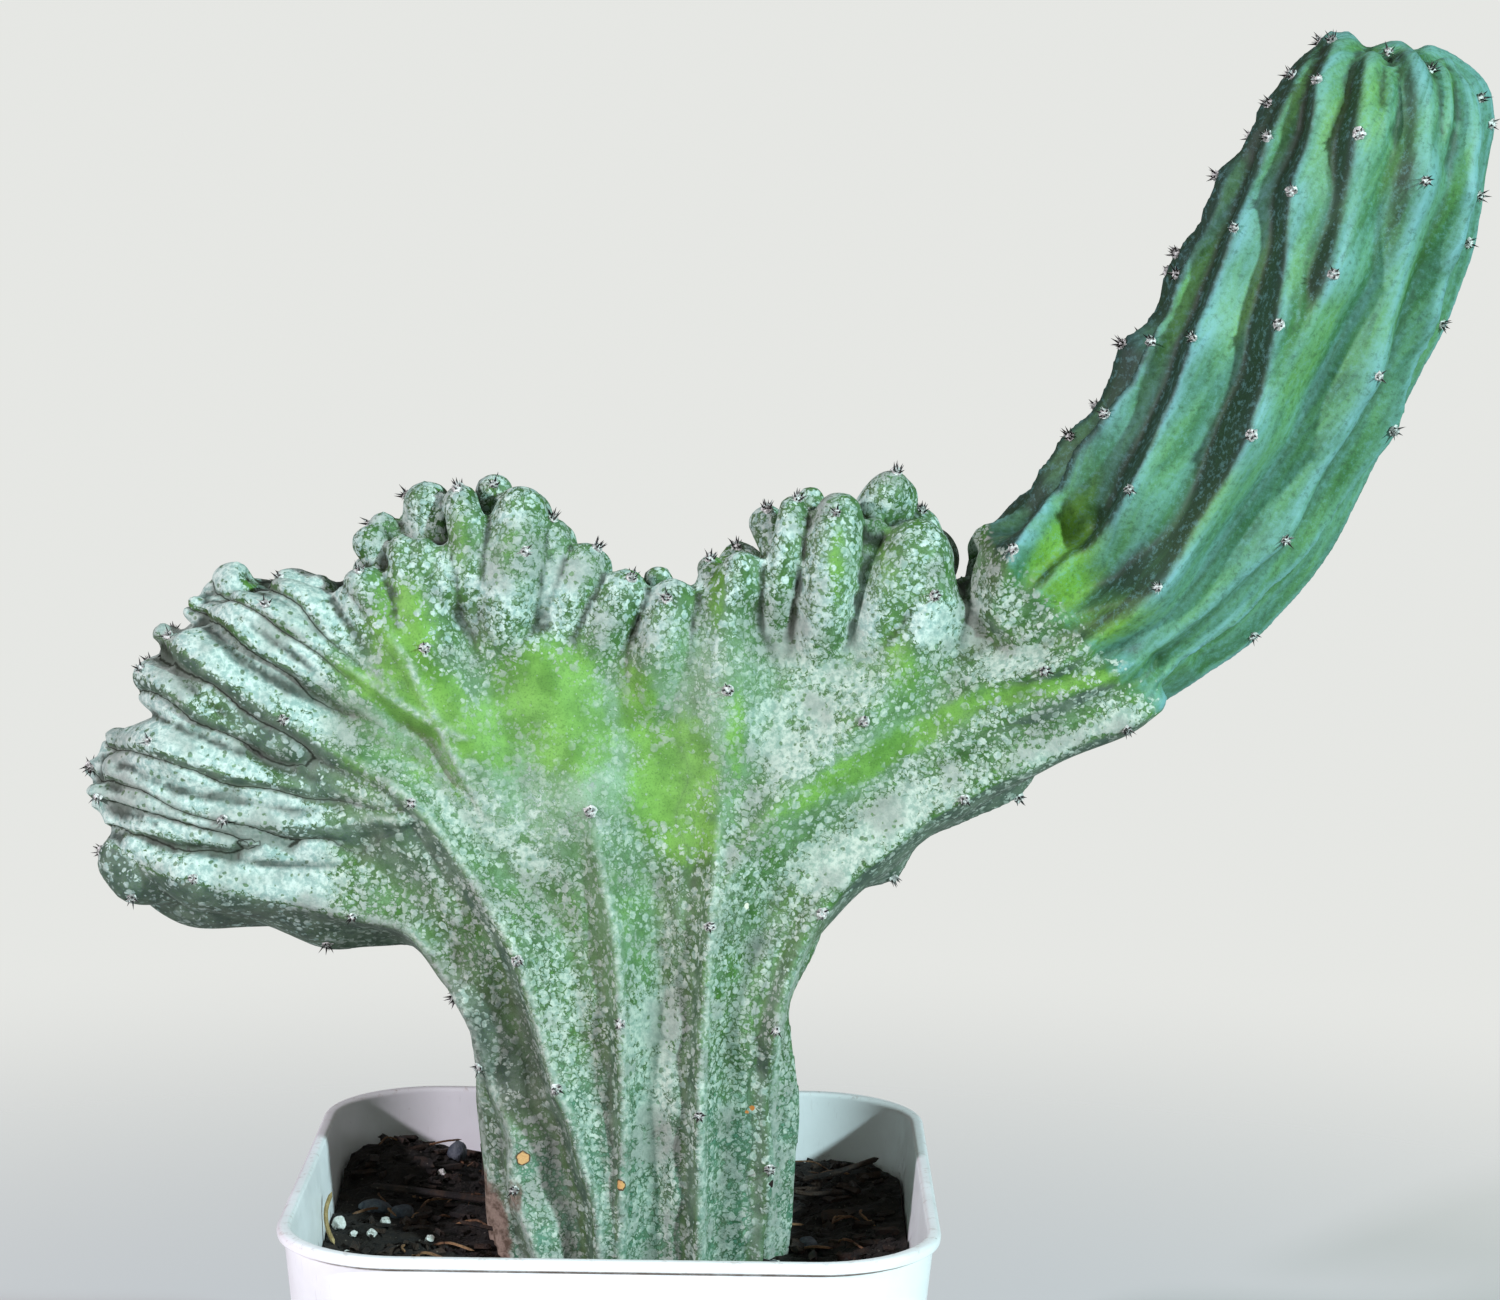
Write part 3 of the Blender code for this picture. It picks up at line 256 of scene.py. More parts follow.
# %% Ridge lines of the front
# Ribs of the front. Each station is x, z, the ridge's distance from the core, and the
# rib's half width. The first two values of each rib are its keenness along most of its
# length and at its tip: near 1 a sharp keel with flat flanks, 2 a round roll.
FRONT_RIBS = {
    "trunk_left_edge": (1.1, 1.8, [
        (-24, -24, 24, 10), (-30, 0, 29, 12), (-31, 15, 30, 12), (-33, 32, 32, 12),
        (-33, 45, 32.5, 12), (-36, 56, 31, 12), (-42, 67, 26, 12), (-50, 77, 22, 12),
        (-63, 80, 20, 12), (-80, 84, 18.5, 12), (-100, 88.5, 18, 11), (-112, 92, 17, 9),
        (-120, 98, 17, 7)]),
    "trunk_left_fold": (1.1, 1.8, [
        (-16, -24, 25, 10), (-19, -4, 29, 11), (-24.5, 14, 30, 11), (-26, 27, 30.5, 10.5),
        (-30, 40, 31, 10.5), (-36, 56, 29.5, 8)]),
    "left_main": (1.1, 1.8, [
        (-3, -24, 24, 10), (-4, 0, 29, 12), (-5, 11, 29.5, 12), (-8, 20, 30, 12.5),
        (-11, 31, 30, 13), (-14.5, 39, 30, 13.5), (-19, 54, 29.5, 14), (-24, 70, 28, 15),
        (-31, 83, 26, 16), (-38, 94, 24, 16), (-49, 107.5, 22, 17), (-64, 118, 20.5, 15.5),
        (-79, 127, 19, 14), (-92, 136, 18.5, 11.5), (-103, 144.3, 18, 9), (-107.5, 147.3, 17.5, 7)]),
    "middle_left": (1.1, 1.8, [
        (2, -24, 24, 10), (1, 0, 29, 12), (1.5, 30, 29.5, 12.5), (0.5, 55, 29, 13),
        (-1, 75, 27.5, 15), (-4, 90, 25, 17), (-7, 106, 23, 19), (-11, 120, 20.5, 20),
        (-16, 136, 18, 18), (-22, 150, 16, 12)]),
    "middle_right": (1.1, 1.8, [
        (20, -24, 24, 10), (20, 0, 29, 12), (19.5, 33, 30, 12.5), (20.5, 60, 29.5, 13),
        (21.5, 79, 28, 14), (23, 100, 25, 15), (24, 115, 22.5, 15), (25, 135.5, 20, 13),
        (24.5, 152, 18, 9), (26, 163, 17.5, 7), (27, 171, 17.5, 5.5)]),
    "right_main": (1.1, 1.8, [
        (34, -24, 24, 9), (36, 0, 30, 10), (36.5, 20, 30.5, 10), (36.5, 40, 31, 10),
        (37.5, 54, 30.5, 9.5), (41, 68, 28, 9.5), (48, 82.5, 24, 9.5), (60, 95, 22, 10),
        (81, 110.3, 21.5, 9.5), (100, 119, 23, 9), (118.7, 127.5, 26, 8.5), (132, 136, 29, 6)]),
    "right_crest": (1.35, 1.8, [
        (22, 80, 27, 12), (30, 99, 25, 14), (45, 116, 22.5, 15), (57, 128.5, 20.5, 14),
        (67, 144, 18.5, 12), (72, 158.5, 17.5, 9), (72.5, 168, 17, 8), (71, 179, 16.5, 7)]),
    "left_low_finger": (1.7, 2.0, [
        (-90, 98, 12, 4.5), (-99, 101, 16, 4.8), (-106, 103, 16.5, 4.8), (-117, 107, 16.5, 4.2),
        (-127, 109.5, 16, 3.6)]),
    "left_low_fold": (1.7, 2.0, [
        (-92, 97, 14, 4.5), (-104, 98.5, 16, 4.8), (-114, 100, 16, 4.8), (-124, 101.5, 15, 4.5)]),
    "left_low": (1.5, 2.0, [
        (-52, 103, 14, 12), (-66, 103, 18.5, 13), (-78, 102.5, 19, 12.5), (-93, 103, 18.5, 11),
        (-104, 106, 17.5, 9), (-113, 110.5, 17, 7), (-123, 114.5, 16.5, 5.5)]),
    "left_middle": (1.6, 2.0, [
        (-58, 107, 14, 11), (-70, 110, 18.5, 12), (-83, 112.5, 18.8, 11.5), (-95, 115.5, 18.5, 11),
        (-104, 118.5, 18, 10), (-111, 120.7, 17, 9.5), (-120.8, 121.6, 16.5, 6.5)]),
    "left_high": (1.6, 2.0, [
        (-78, 117, 13, 8.5), (-88, 123, 17, 8.5), (-97, 128, 17.5, 8.5), (-104, 132.5, 17.5, 8.5),
        (-109.3, 136, 17.5, 8.5), (-115, 138.4, 17, 7)]),
    "left_top_low": (1.7, 2.0, [
        (-64, 131, 13, 8), (-74, 138, 17.5, 8), (-83, 143, 17.5, 7), (-90, 149, 17, 6.5),
        (-99.5, 155, 15, 5.5)]),
    "left_top": (1.6, 2.0, [
        (-40, 124, 15, 11), (-52, 131, 19.5, 11.5), (-62, 138, 19, 11), (-72, 145, 18.5, 9),
        (-82.5, 152.5, 17.5, 7), (-91, 157.2, 16.5, 6), (-95.5, 158.6, 17, 5)]),
    "left_top_back": (1.6, 2.0, [
        (-55, 135, 13, 8.5), (-63, 143, 17.3, 9), (-70, 150, 17, 8.5), (-76, 157, 16, 8),
        (-84, 162, 14.5, 6)]),
    "crest_saddle": (1.6, 2.0, [
        (-38, 116, 15, 10), (-45, 130, 19.5, 11), (-50, 140, 19.5, 11), (-57, 152, 18, 9),
        (-62, 160, 16.5, 8), (-63.5, 165.5, 16, 6.5)]),
    "crest_left": (1.6, 2.0, [
        (-20, 92, 18, 12), (-30, 112, 21, 14), (-38, 128, 20.5, 15), (-46, 144.5, 18.8, 12),
        (-47.5, 158, 17, 9), (-47, 168, 15, 7)]),
    "arm_left": (1.12, 2.0, [
        (84, 150, 17, 6), (89, 162, 21, 8), (91, 169.6, 25, 8), (97, 180, 30, 8),
        (104, 192, 33, 9), (111.5, 201.5, 34, 8), (121.6, 218.4, 34.5, 7.5), (128, 234, 34, 7),
        (133.5, 247, 33, 6.5), (138.5, 259, 31.5, 6), (145.5, 270, 30, 6), (152.5, 281, 28.5, 6),
        (158.5, 287, 25, 5.5), (163, 290, 12, 5)]),
    "arm_left_middle": (1.12, 2.0, [
        (85, 148, 17, 7), (97, 160, 21, 10.5), (108, 172, 26, 9), (117.6, 184, 31, 9.5),
        (124, 201, 34, 9.5), (131.3, 219.2, 35, 9.5), (135, 232, 34, 9), (140, 244.6, 33.5, 9),
        (143, 256, 32, 8.5), (147, 265.5, 30.5, 7),
        (153, 279, 29.5, 6), (159.5, 288.5, 27, 6), (163, 291.8, 12, 5.5)]),
    "arm_middle_left": (1.12, 2.0, [
        (88, 146, 18, 8), (105, 154, 21, 10.5), (125, 161, 28, 11), (136, 178, 32, 9.5),
        (145.6, 197, 34.5, 9.5), (151, 222.6, 35, 9.5), (152, 238, 34, 9.5), (153, 253, 33, 9),
        (156, 266, 31.5, 7), (158.5, 279, 30, 6), (163, 288.5, 28, 6), (167, 292, 12, 5.5)]),
    "arm_middle": (1.12, 2.0, [
        (62, 122, 14, 7), (80, 134.5, 19, 10), (90, 139, 20.5, 10.5), (99, 141, 22.5, 10.5),
        (112, 149, 25, 10.5), (124, 158, 29, 10.5), (133, 170, 31, 9), (141, 185, 33, 9),
        (148, 200, 34, 9), (156, 218, 34.5, 9), (163.3, 234.4, 35, 9.5), (166, 250, 33, 9),
        (168, 266.5, 31.5, 8.5), (169, 280, 30, 5.5), (170, 285, 28, 5.5), (171, 287.5, 14, 4)]),
    "arm_middle_right": (1.12, 2.0, [
        (58, 112, 14, 7), (80, 126, 19.5, 10), (100, 133.5, 22, 10.5), (118, 142, 25, 11),
        (135, 153, 29, 11.5), (154.3, 172.6, 33, 10), (165, 190, 34, 10), (174.6, 211, 35, 10),
        (180, 233, 34, 10), (183.7, 256, 33, 9.5), (184, 272, 31, 7.5), (181, 283, 29.5, 6.5),
        (179, 286.5, 27, 6), (177.5, 290, 12, 5)]),
    "arm_right": (1.12, 2.0, [
        (114, 130, 22, 7), (128, 140, 27, 8), (143, 152, 31, 9.5), (160, 169, 34, 10),
        (175, 190, 35, 9), (185, 215, 34.5, 7.5), (192.5, 241, 34.5, 8), (196, 260, 32, 7.5),
        (194.5, 274, 30, 7.5), (189, 283.5, 27, 6), (185, 287, 12, 4.5)]),
    "arm_young_left": (1.6, 2.0, [
        (171, 256, 29, 3), (173.5, 267, 30, 3.2), (175, 276, 29.5, 3.2), (174.8, 284, 26, 3)]),
    "arm_young_right": (1.6, 2.0, [
        (187.5, 258, 31, 3.5), (189.5, 270, 31, 4.5), (188, 280, 29.5, 4.5), (183, 286, 25, 4)]),
}

print("ribs in front:", len(FRONT_RIBS))

# %% Ridge lines of the silhouette
# Ribs at the silhouette, where the third value is the ridge's own depth
EDGE_RIBS = {
    "trunk_back_left": (1.3, 1.3, [
        (-26, -24, 7, 10), (-31, 5, 9, 12), (-34, 35, 9, 12), (-36, 52, 8, 12), (-42, 64, 6, 12),
        (-49, 71.5, 5, 11), (-60, 72.5, 5, 11), (-69, 72, 4, 11), (-80, 76.5, 5, 11),
        (-92, 82, 6, 10), (-106, 88, 6, 8), (-115, 95, 5, 6)]),
    "left_under_back": (1.6, 2.0, [
        (-60, 80, 14, 10), (-75, 80, 14, 10), (-88, 79, 13, 10), (-100, 78, 12, 9),
        (-110, 83, 10, 8), (-117, 91, 7, 6)]),
    "left_lip": (1.6, 2.0, [
        (-72, 84, -2, 8), (-92, 84.5, -4, 9), (-106, 83, -5, 9), (-116, 82.5, -5, 8.5),
        (-121.5, 87.5, -5, 8), (-124.5, 94, -4, 7), (-123.5, 101, -3, 6)]),
    "right_fin": (1.2, 1.2, [
        (36, -24, 4, 8), (42, 0, 4, 9), (43, 20, 3, 9), (44, 36, 2, 9), (41.5, 52, 2, 9),
        (41, 61, 2, 9), (46, 71.5, 2, 8.5), (50, 82, 2, 8.5), (57, 88, 2, 8), (65.5, 91, 2, 7.5),
        (71, 99.5, 2, 8), (82, 105, 2, 7.5), (94, 111, 2, 7), (101, 120, 1, 7), (112, 126, 0, 5)]),
    "arm_left_flange": (1.12, 2.0, [
        (86, 142, 4, 6), (81, 156, 0, 6), (80.5, 168, -1, 6), (82, 175, -1, 5), (88.5, 177.8, 0, 5),
        (92.5, 181, 2, 6), (95.6, 187.5, 3, 7), (99.5, 193.5, 4, 7), (102.4, 197.4, 4, 7.5),
        (108.5, 203, 4, 8), (111.8, 210.5, 4, 8), (114.3, 218.2, 4, 8), (119, 222, 5, 8),
        (123.7, 227, 5, 8), (125.9, 234.5, 5, 8), (127.7, 239.5, 5, 8), (131.2, 243, 5, 8),
        (132, 248.4, 5, 8), (134.7, 253.5, 5, 8), (135.3, 257.5, 5, 8), (139.7, 261.5, 5, 7),
        (143.7, 266.5, 5, 6.5), (144, 271.5, 5, 6), (148.7, 276.8, 5, 6), (151.2, 281, 5, 6),
        (156.2, 285.8, 4, 6), (162, 289.5, 2, 5)]),
    "arm_right_flange": (1.12, 2.0, [
        (120, 129, 4, 7), (134, 138, 4, 8), (148.4, 149, 4, 9), (165, 169, 4, 10),
        (178.5, 198.5, 4, 10), (189.5, 222, 4, 9), (195.5, 240, 4, 8), (197.5, 256, 4, 8),
        (199, 270, 4, 7.5), (196.5, 279, 3, 7), (189, 285, 3, 6.5), (179, 289, 2, 5.5)]),
}

print("ribs at the silhouette:", len(EDGE_RIBS))

# %% Fingers and buds of the crest
# Fingers of the crest: stations of a round body, each x, z, depth and radius
FINGERS = [
    [(-49, 148, -7, 2.8), (-51, 160, -12, 3.2), (-51.5, 166, -11, 3.2), (-51.5, 170.5, -7, 3)],
    [(-46, 150, -8, 2.4), (-46.3, 162, -12.5, 2.6), (-46.5, 171, -10, 2.5)],
    [(-40.5, 148, -8, 2.8), (-41.5, 160, -12.5, 2.9), (-42, 169, -10, 2.6)],
    [(-32, 144, -6, 4), (-34.5, 160, -11, 4.4), (-36, 170, -10.5, 4.5), (-37.5, 178, -7.5, 4.3),
     (-37.5, 181, -3, 3.8)],
    [(-29, 136, -6, 6), (-27, 150, -9.5, 7), (-26, 162, -10.5, 7.5), (-24.5, 171, -9, 7),
     (-23, 182.8, -4.5, 5.6)],
    [(-19, 140, -5, 4), (-18, 155, -8.5, 4.6), (-16.5, 168, -7.5, 4.6), (-16.8, 175, -3.5, 4.4)],
    [(-17, 138, -6, 4), (-13, 153, -9.5, 5), (-9, 164, -8, 5.2), (-7.5, 168, -4, 4.6)],
    [(-10, 134, -6, 5), (-4.5, 149, -10, 5.6), (0.5, 158.5, -8.5, 5.8), (1.5, 161.5, -5, 5)],
    [(5.5, 126, -7, 5), (9, 143, -12, 6), (11.5, 155, -10, 5.8), (13, 160.5, -6, 5)],
    [(18, 128, -7, 2.8), (19, 146, -12, 3.2), (20, 158, -8.5, 3.2), (21, 165, -4, 3)],
    [(35, 142, -6, 3.2), (37, 162, -11.5, 3.7), (39, 174, -9, 3.7), (40, 181, -4, 3.2)],
    [(45, 136, -6, 5.5), (47.5, 155, -11.5, 6.2), (49.5, 171, -11, 6.2), (51, 182, -5.5, 5.2)],
    [(56, 140, -5, 6), (63, 157, -9, 8), (68, 167, -8.5, 8.2), (69.5, 176, -6, 7)],
    [(55, 174, 3, 4.6), (62, 182, 2, 5.6), (67, 184.5, 1, 4.6)],
    [(-97, 152, 6, 3), (-92, 159.5, 5, 4.5), (-86, 159, 3, 4.2)],
]
# The fingers behind the crest are these mirrored about half this depth, and shifted
BACK_FINGER_DEPTH = 7.0
BACK_SHIFT = 1.5
# Round buds of the crest on short necks: x, z, depth and radius
BUDS = [
    (-124, 115, 2, 2.8), (-118, 120.3, 4, 4.6), (-107.3, 146.2, 2, 3.4), (-100, 153, 1, 3.2),
    (-66.2, 150, -9, 3.4), (-71, 158.5, 4, 3.8), (-59, 169, -6, 4.2), (-56, 173, -1, 3.5),
    (-45.5, 178, -1, 5.8), (-30, 181.2, 2, 4.6), (8.3, 161.2, 1, 3.6), (20.5, 164, -3, 3.4),
    (33.5, 175, 4, 4.4), (43.5, 180.5, 4, 3.4), (58.6, 174, -5, 3),
]

print("fingers:", len(FINGERS), "buds:", len(BUDS))

# %% Areoles, and how a rib is shaped
# Where the wool and spines sit, as seen from the eye point
AREOLES = [
    (-33, 44), (-40, 60), (-63, 80), (-100.5, 88.6), (-24.5, 14), (-14.5, 39), (-24, 70), (-49, 107.5),
    (-79, 127), (-106, 146.5), (0.5, 55), (-7, 106), (19.5, 33), (21.5, 79), (25, 135.5), (26.5, 169),
    (36.5, 20), (37.5, 54), (48, 82.5), (81, 110.3), (118.7, 127.5), (57, 128.5), (73, 158.5),
    (69.5, 178), (64.5, 91.2), (93.5, 111), (-69, 73.5), (-93.4, 103), (-123, 108), (-110.8, 121.4),
    (-124.5, 115), (-112.5, 138.5), (-83.2, 154.2), (-81.5, 162.5), (-115, 84), (-123.5, 95.4),
    (-61.3, 162.4), (-46, 144.5), (-60.5, 173.5), (-51, 180.5), (-38.5, 182), (-30, 183), (-22.5, 167.5),
    (-16.5, 175), (-6, 168.5), (2.2, 161.5), (10.5, 157), (20.5, 166), (33.5, 178), (40.5, 180.5),
    (49.7, 177.5), (63.5, 187), (91, 169.6), (111.4, 201.4), (121.6, 218.4), (127, 233.8),
    (103.5, 196), (115, 217.5), (127, 238.5), (135.5, 256.5), (147, 273), (117.6, 184), (131.3, 219.2),
    (140, 244.6), (147, 265.5), (152.5, 279.5), (125, 161), (145.6, 197), (151, 222.6), (153, 253.2),
    (158, 278.5), (99, 141), (163.3, 234.4), (168, 266.5), (154.3, 172.6), (174.6, 211),
    (183.7, 256), (183.9, 281), (194, 242), (195.5, 275), (147.5, 150), (178.5, 198.5), (190.5, 222.5),
    (197.5, 252.5), (199.5, 269), (161, 287.5), (174, 285),
]

# How a body is swept along its line
SECTION_SIDES = 16
PATH_STEP = 2.2
SAME_POINT = 0.01

# A rib's keel: how far it reaches down from its crown, and the rounding of its ends
RIB_DEPTH = 15.0
RIB_DEPTH_SHARE = 0.62
RIB_END = 5.0
TIP_DEPTH = 8.0
TIP_BLEND = 3
BUD_NECK = 1.0

# Ridges rise to each areole and dip between them, more so on the arm
FAN_WAVE = 1.6
ARM_WAVE = 2.6
ARM_WAVE_FROM = 165.0
WAVE_LENGTH = 10.0
WAVE_DIP = 0.7
EDGE_WAVE = 0.2

# The ribs behind are those in front mirrored, then shifted by a slow noise
BACK_WARP = 4.0
BACK_WARP_SCALE = 0.03
BACK_WARP_FULL_DEPTH = 24.0
# The arm's back ribs stand a little further out, as far as the arm leans away from the eye
ARM_BACK_SHIFT = 2.5
ARM_BACK_FROM = 100.0
ARM_BACK_BLEND = 30.0

print("areoles:", len(AREOLES))

# %% The layout's core, and paths through its stations
def lerp(a, b, t):
    """The value that lies a share t of the way from a to b."""
    return a + (b - a) * t


def nearest_on_segment(p, a, b):
    """The point of the segment from a to b that is nearest to p."""
    along = b - a
    t = max(0.0, min(1.0, (p - a).dot(along) / along.length_squared))
    return a + along * t


def inside(p, outline):
    """Whether a point lies inside a closed outline."""
    crossings = False
    for i, a in enumerate(outline):
        b = outline[i - 1]
        if (a.y > p.y) != (b.y > p.y) and p.x < lerp(a.x, b.x, (p.y - a.y) / (b.y - a.y)):
            crossings = not crossings
    return crossings


SHEET_2D = [Vector(p) for p in SHEET]
BONES = [(SHEET_2D[i - 1], p) for i, p in enumerate(SHEET_2D)]
BONES += [(Vector(a), Vector(b)) for a, b in zip(ARM_AXIS, ARM_AXIS[1:])]


def nearest_on_core(x, z):
    """The core's nearest point to a place in the fan's plane."""
    p = Vector((x, z))
    if inside(p, SHEET_2D):
        return p
    found = [nearest_on_segment(p, a, b) for a, b in BONES]
    return min(found, key=lambda q: (q - p).length)


def seen_from_eye(x, z, y):
    """The place at depth y that looks, from the eye point, as (x, z) does in the fan's plane."""
    flat = Vector((x, 0.0, z))
    return EYE + (flat - EYE) * (1 + y / -EYE.y)


def smooth_path(points, step):
    """Points about a step apart on a smooth curve through the given ones, of any dimension."""
    if len(points) == 2:
        points = [points[0], (points[0] + points[1]) / 2, points[1]]
    ends = [points[0] * 2 - points[1], *points, points[-1] * 2 - points[-2]]
    path = []
    for a, b, c, d in zip(ends, ends[1:], ends[2:], ends[3:]):
        count = max(1, round((c - b).length / step))
        for k in range(count):
            t = k / count
            bend = (2 * a - 5 * b + 4 * c - d) * t**2 + (3 * b - a - 3 * c + d) * t**3
            path.append(0.5 * (2 * b + (c - a) * t + bend))
    return [*path, points[-1]]


print("bones of the core:", len(BONES))

# %% [markdown]
# A swept body starts as a UV sphere, because a sphere is already closed at both ends. Each of its
# rings is then laid on one section of the path. The section is a superellipse: with a power near
# 2 it is round like a finger, and near 1 it is a keel with flat flanks and a sharp crown.

# %% Sweep a closed body along a path
def end_rounding(travelled, total, radius):
    """How far a section is drawn in, from 0 at a rounded end to 1 past its cap."""
    from_end = min(travelled, total - travelled) / radius
    return math.sqrt(1 - (1 - from_end) ** 2) if from_end < 1 else 1.0


def pour(shape, bm):
    """Add a shape's mesh to another and free it."""
    mesh = bpy.data.meshes.new("shape")
    bmesh.ops.recalc_face_normals(shape, faces=shape.faces)
    shape.to_mesh(mesh)
    shape.free()
    bm.from_mesh(mesh)
    bpy.data.meshes.remove(mesh)


def add_swept(bm, centres, acrosses, outs, keennesses, sides):
    """A sphere whose rings are laid on the path's sections."""
    last = len(centres) - 1
    shape = bmesh.new()
    bmesh.ops.create_uvsphere(shape, u_segments=sides, v_segments=last, radius=1)
    for vert in shape.verts:
        ring = round(math.acos(max(-1.0, min(1.0, vert.co.z))) / math.pi * last)
        angle = math.atan2(vert.co.y, vert.co.x)
        power = 2 / keennesses[ring]
        sideways = math.copysign(abs(math.cos(angle)) ** power, math.cos(angle))
        outward = math.copysign(abs(math.sin(angle)) ** power, math.sin(angle))
        vert.co = centres[ring] + acrosses[ring] * sideways + outs[ring] * outward
    pour(shape, bm)


def heading(points, i):
    """The direction of a path at one of its points."""
    return (points[min(i + 1, len(points) - 1)] - points[max(i - 1, 0)]).normalized()


def lengths(points):
    """How far along a path each of its points lies."""
    travelled = [0.0]
    for a, b in zip(points, points[1:]):
        travelled.append(travelled[-1] + (b - a).length)
    return travelled


# %% [markdown]
# A rib's crown runs along its ridge line. The line rises a little at each areole and dips between
# two of them, which gives the arm its wavy, toothed look. The unseen back carries the same ribs
# mirrored, moved a few millimetres by a slow noise so that the plant isn't the same on both sides.

# %% Ribs
def ridge_wave(x, z):
    """How far a ridge stands out at a place: it peaks at each areole and dips between them."""
    nearest = min((Vector((x, z)) - Vector(a)).length for a in AREOLES)
    height = ARM_WAVE if z > ARM_WAVE_FROM else FAN_WAVE
    return height * (math.exp(-((nearest / WAVE_LENGTH) ** 2)) - WAVE_DIP)


def front_depth(reach, away):
    """How far forward a front rib lies: its reach, less the further it is from the core."""
    return -math.sqrt(max(TIP_DEPTH**2, reach**2 - away**2))


def own_depth(depth, away):
    """The depth that a rib's own stations give."""
    return depth


def ridge_of(stations, depth_of, waves=1.0):
    """A rib's ridge points, core points and widths along its smooth path."""
    ridge, core, widths = [], [], []
    for x, z, third, width in smooth_path([Vector(s) for s in stations], PATH_STEP):
        flat_root = nearest_on_core(x, z)
        root = Vector((flat_root.x, 0, flat_root.y))
        away = (Vector((x, z)) - flat_root).length
        top = seen_from_eye(x, z, depth_of(third, away))
        ridge.append(top + (top - root).normalized() * ridge_wave(x, z) * waves)
        core.append(root)
        widths.append(width)
    return ridge, core, widths


def to_back(points, warp):
    """Points mirrored to the far side and shifted by a slow noise, so it isn't a copy."""
    moved = []
    for p in points:
        freedom = min(1.0, abs(p.y) / BACK_WARP_FULL_DEPTH)
        shift = noise.noise_vector(p * BACK_WARP_SCALE) * warp * freedom
        shift.x += ARM_BACK_SHIFT * max(0.0, min(1.0, (p.x - ARM_BACK_FROM) / ARM_BACK_BLEND))
        moved.append(Vector((p.x + shift.x, -p.y, p.z + shift.z)))
    return moved


def add_rib(bm, ridge, core, widths, keen, keen_tip):
    """A keel whose crown runs along ridge and whose root points at core."""
    travelled = lengths(ridge)
    centres, acrosses, outs, keennesses = [], [], [], []
    for i, (top, root, width) in enumerate(zip(ridge, core, widths)):
        along = heading(ridge, i)
        out = top - root
        out -= along * out.dot(along)
        depth = min(RIB_DEPTH, RIB_DEPTH_SHARE * out.length)
        out.normalize()
        drawn_in = end_rounding(travelled[i], travelled[-1], min(width, RIB_END))
        centres.append(top - out * depth)
        acrosses.append(along.cross(out) * width * drawn_in)
        outs.append(out * depth * drawn_in)
        keennesses.append(lerp(keen, keen_tip, (travelled[i] / travelled[-1]) ** TIP_BLEND))
    add_swept(bm, centres, acrosses, outs, keennesses, SECTION_SIDES)


def rib_lines():
    """Every rib as (ridge, core, widths, keenness, keenness at the tip)."""
    front, back, edge = [], [], []
    for keen, keen_tip, stations in FRONT_RIBS.values():
        ridge, core, widths = ridge_of(stations, front_depth)
        front.append((ridge, core, widths, keen, keen_tip))
        back.append((to_back(ridge, BACK_WARP), to_back(core, 0), widths, keen, keen_tip))
    for keen, keen_tip, stations in EDGE_RIBS.values():
        edge.append((*ridge_of(stations, own_depth, EDGE_WAVE), keen, keen_tip))
    return front + back + edge


# %% Fingers, buds and cores
def add_sausage(bm, stations):
    """A round finger through stations of x, z, depth and radius."""
    path = smooth_path([Vector(s) for s in stations], PATH_STEP / 2)
    centres = [seen_from_eye(x, z, y) for x, z, y, _ in path]
    travelled = lengths(centres)
    acrosses, outs = [], []
    for i, (_, _, _, radius) in enumerate(path):
        along = heading(centres, i)
        across = along.cross(Vector((0, 1, 0))).normalized()
        drawn_in = radius * end_rounding(travelled[i], travelled[-1], radius)
        acrosses.append(across * drawn_in)
        outs.append(along.cross(across) * drawn_in)
    add_swept(bm, centres, acrosses, outs, [2.0] * len(path), SECTION_SIDES)


def behind(stations):
    """A finger's stations for its twin behind the crest."""
    return [
        (x + BACK_SHIFT, z - BACK_SHIFT, BACK_FINGER_DEPTH - y, radius)
        for x, z, y, radius in stations
    ]


def add_bud(bm, x, z, y, radius):
    """A bud at the end of a neck that rises from the nearest part of the core."""
    root = nearest_on_core(x, z)
    neck = Vector((root.x, root.y, y / 2, BUD_NECK * radius))
    tip = Vector((x, z, y, radius))
    end = tip + (tip - neck) * (radius / (tip - neck).length)
    add_sausage(bm, [neck, neck.lerp(tip, 0.5), tip, end])


def add_column(bm, stations):
    """A round core through stations of x, z, half width and half depth."""
    path = smooth_path([Vector(s) for s in stations], PATH_STEP)
    centres = [Vector((x, 0, z)) for x, z, _, _ in path]
    travelled = lengths(centres)
    acrosses, outs = [], []
    for i, (_, _, half_width, half_depth) in enumerate(path):
        drawn_in = end_rounding(travelled[i], travelled[-1], half_depth)
        acrosses.append(heading(centres, i).cross(Vector((0, 1, 0))) * half_width * drawn_in)
        outs.append(Vector((0, 1, 0)) * half_depth * drawn_in)
    add_swept(bm, centres, acrosses, outs, [2.0] * len(path), SECTION_SIDES)


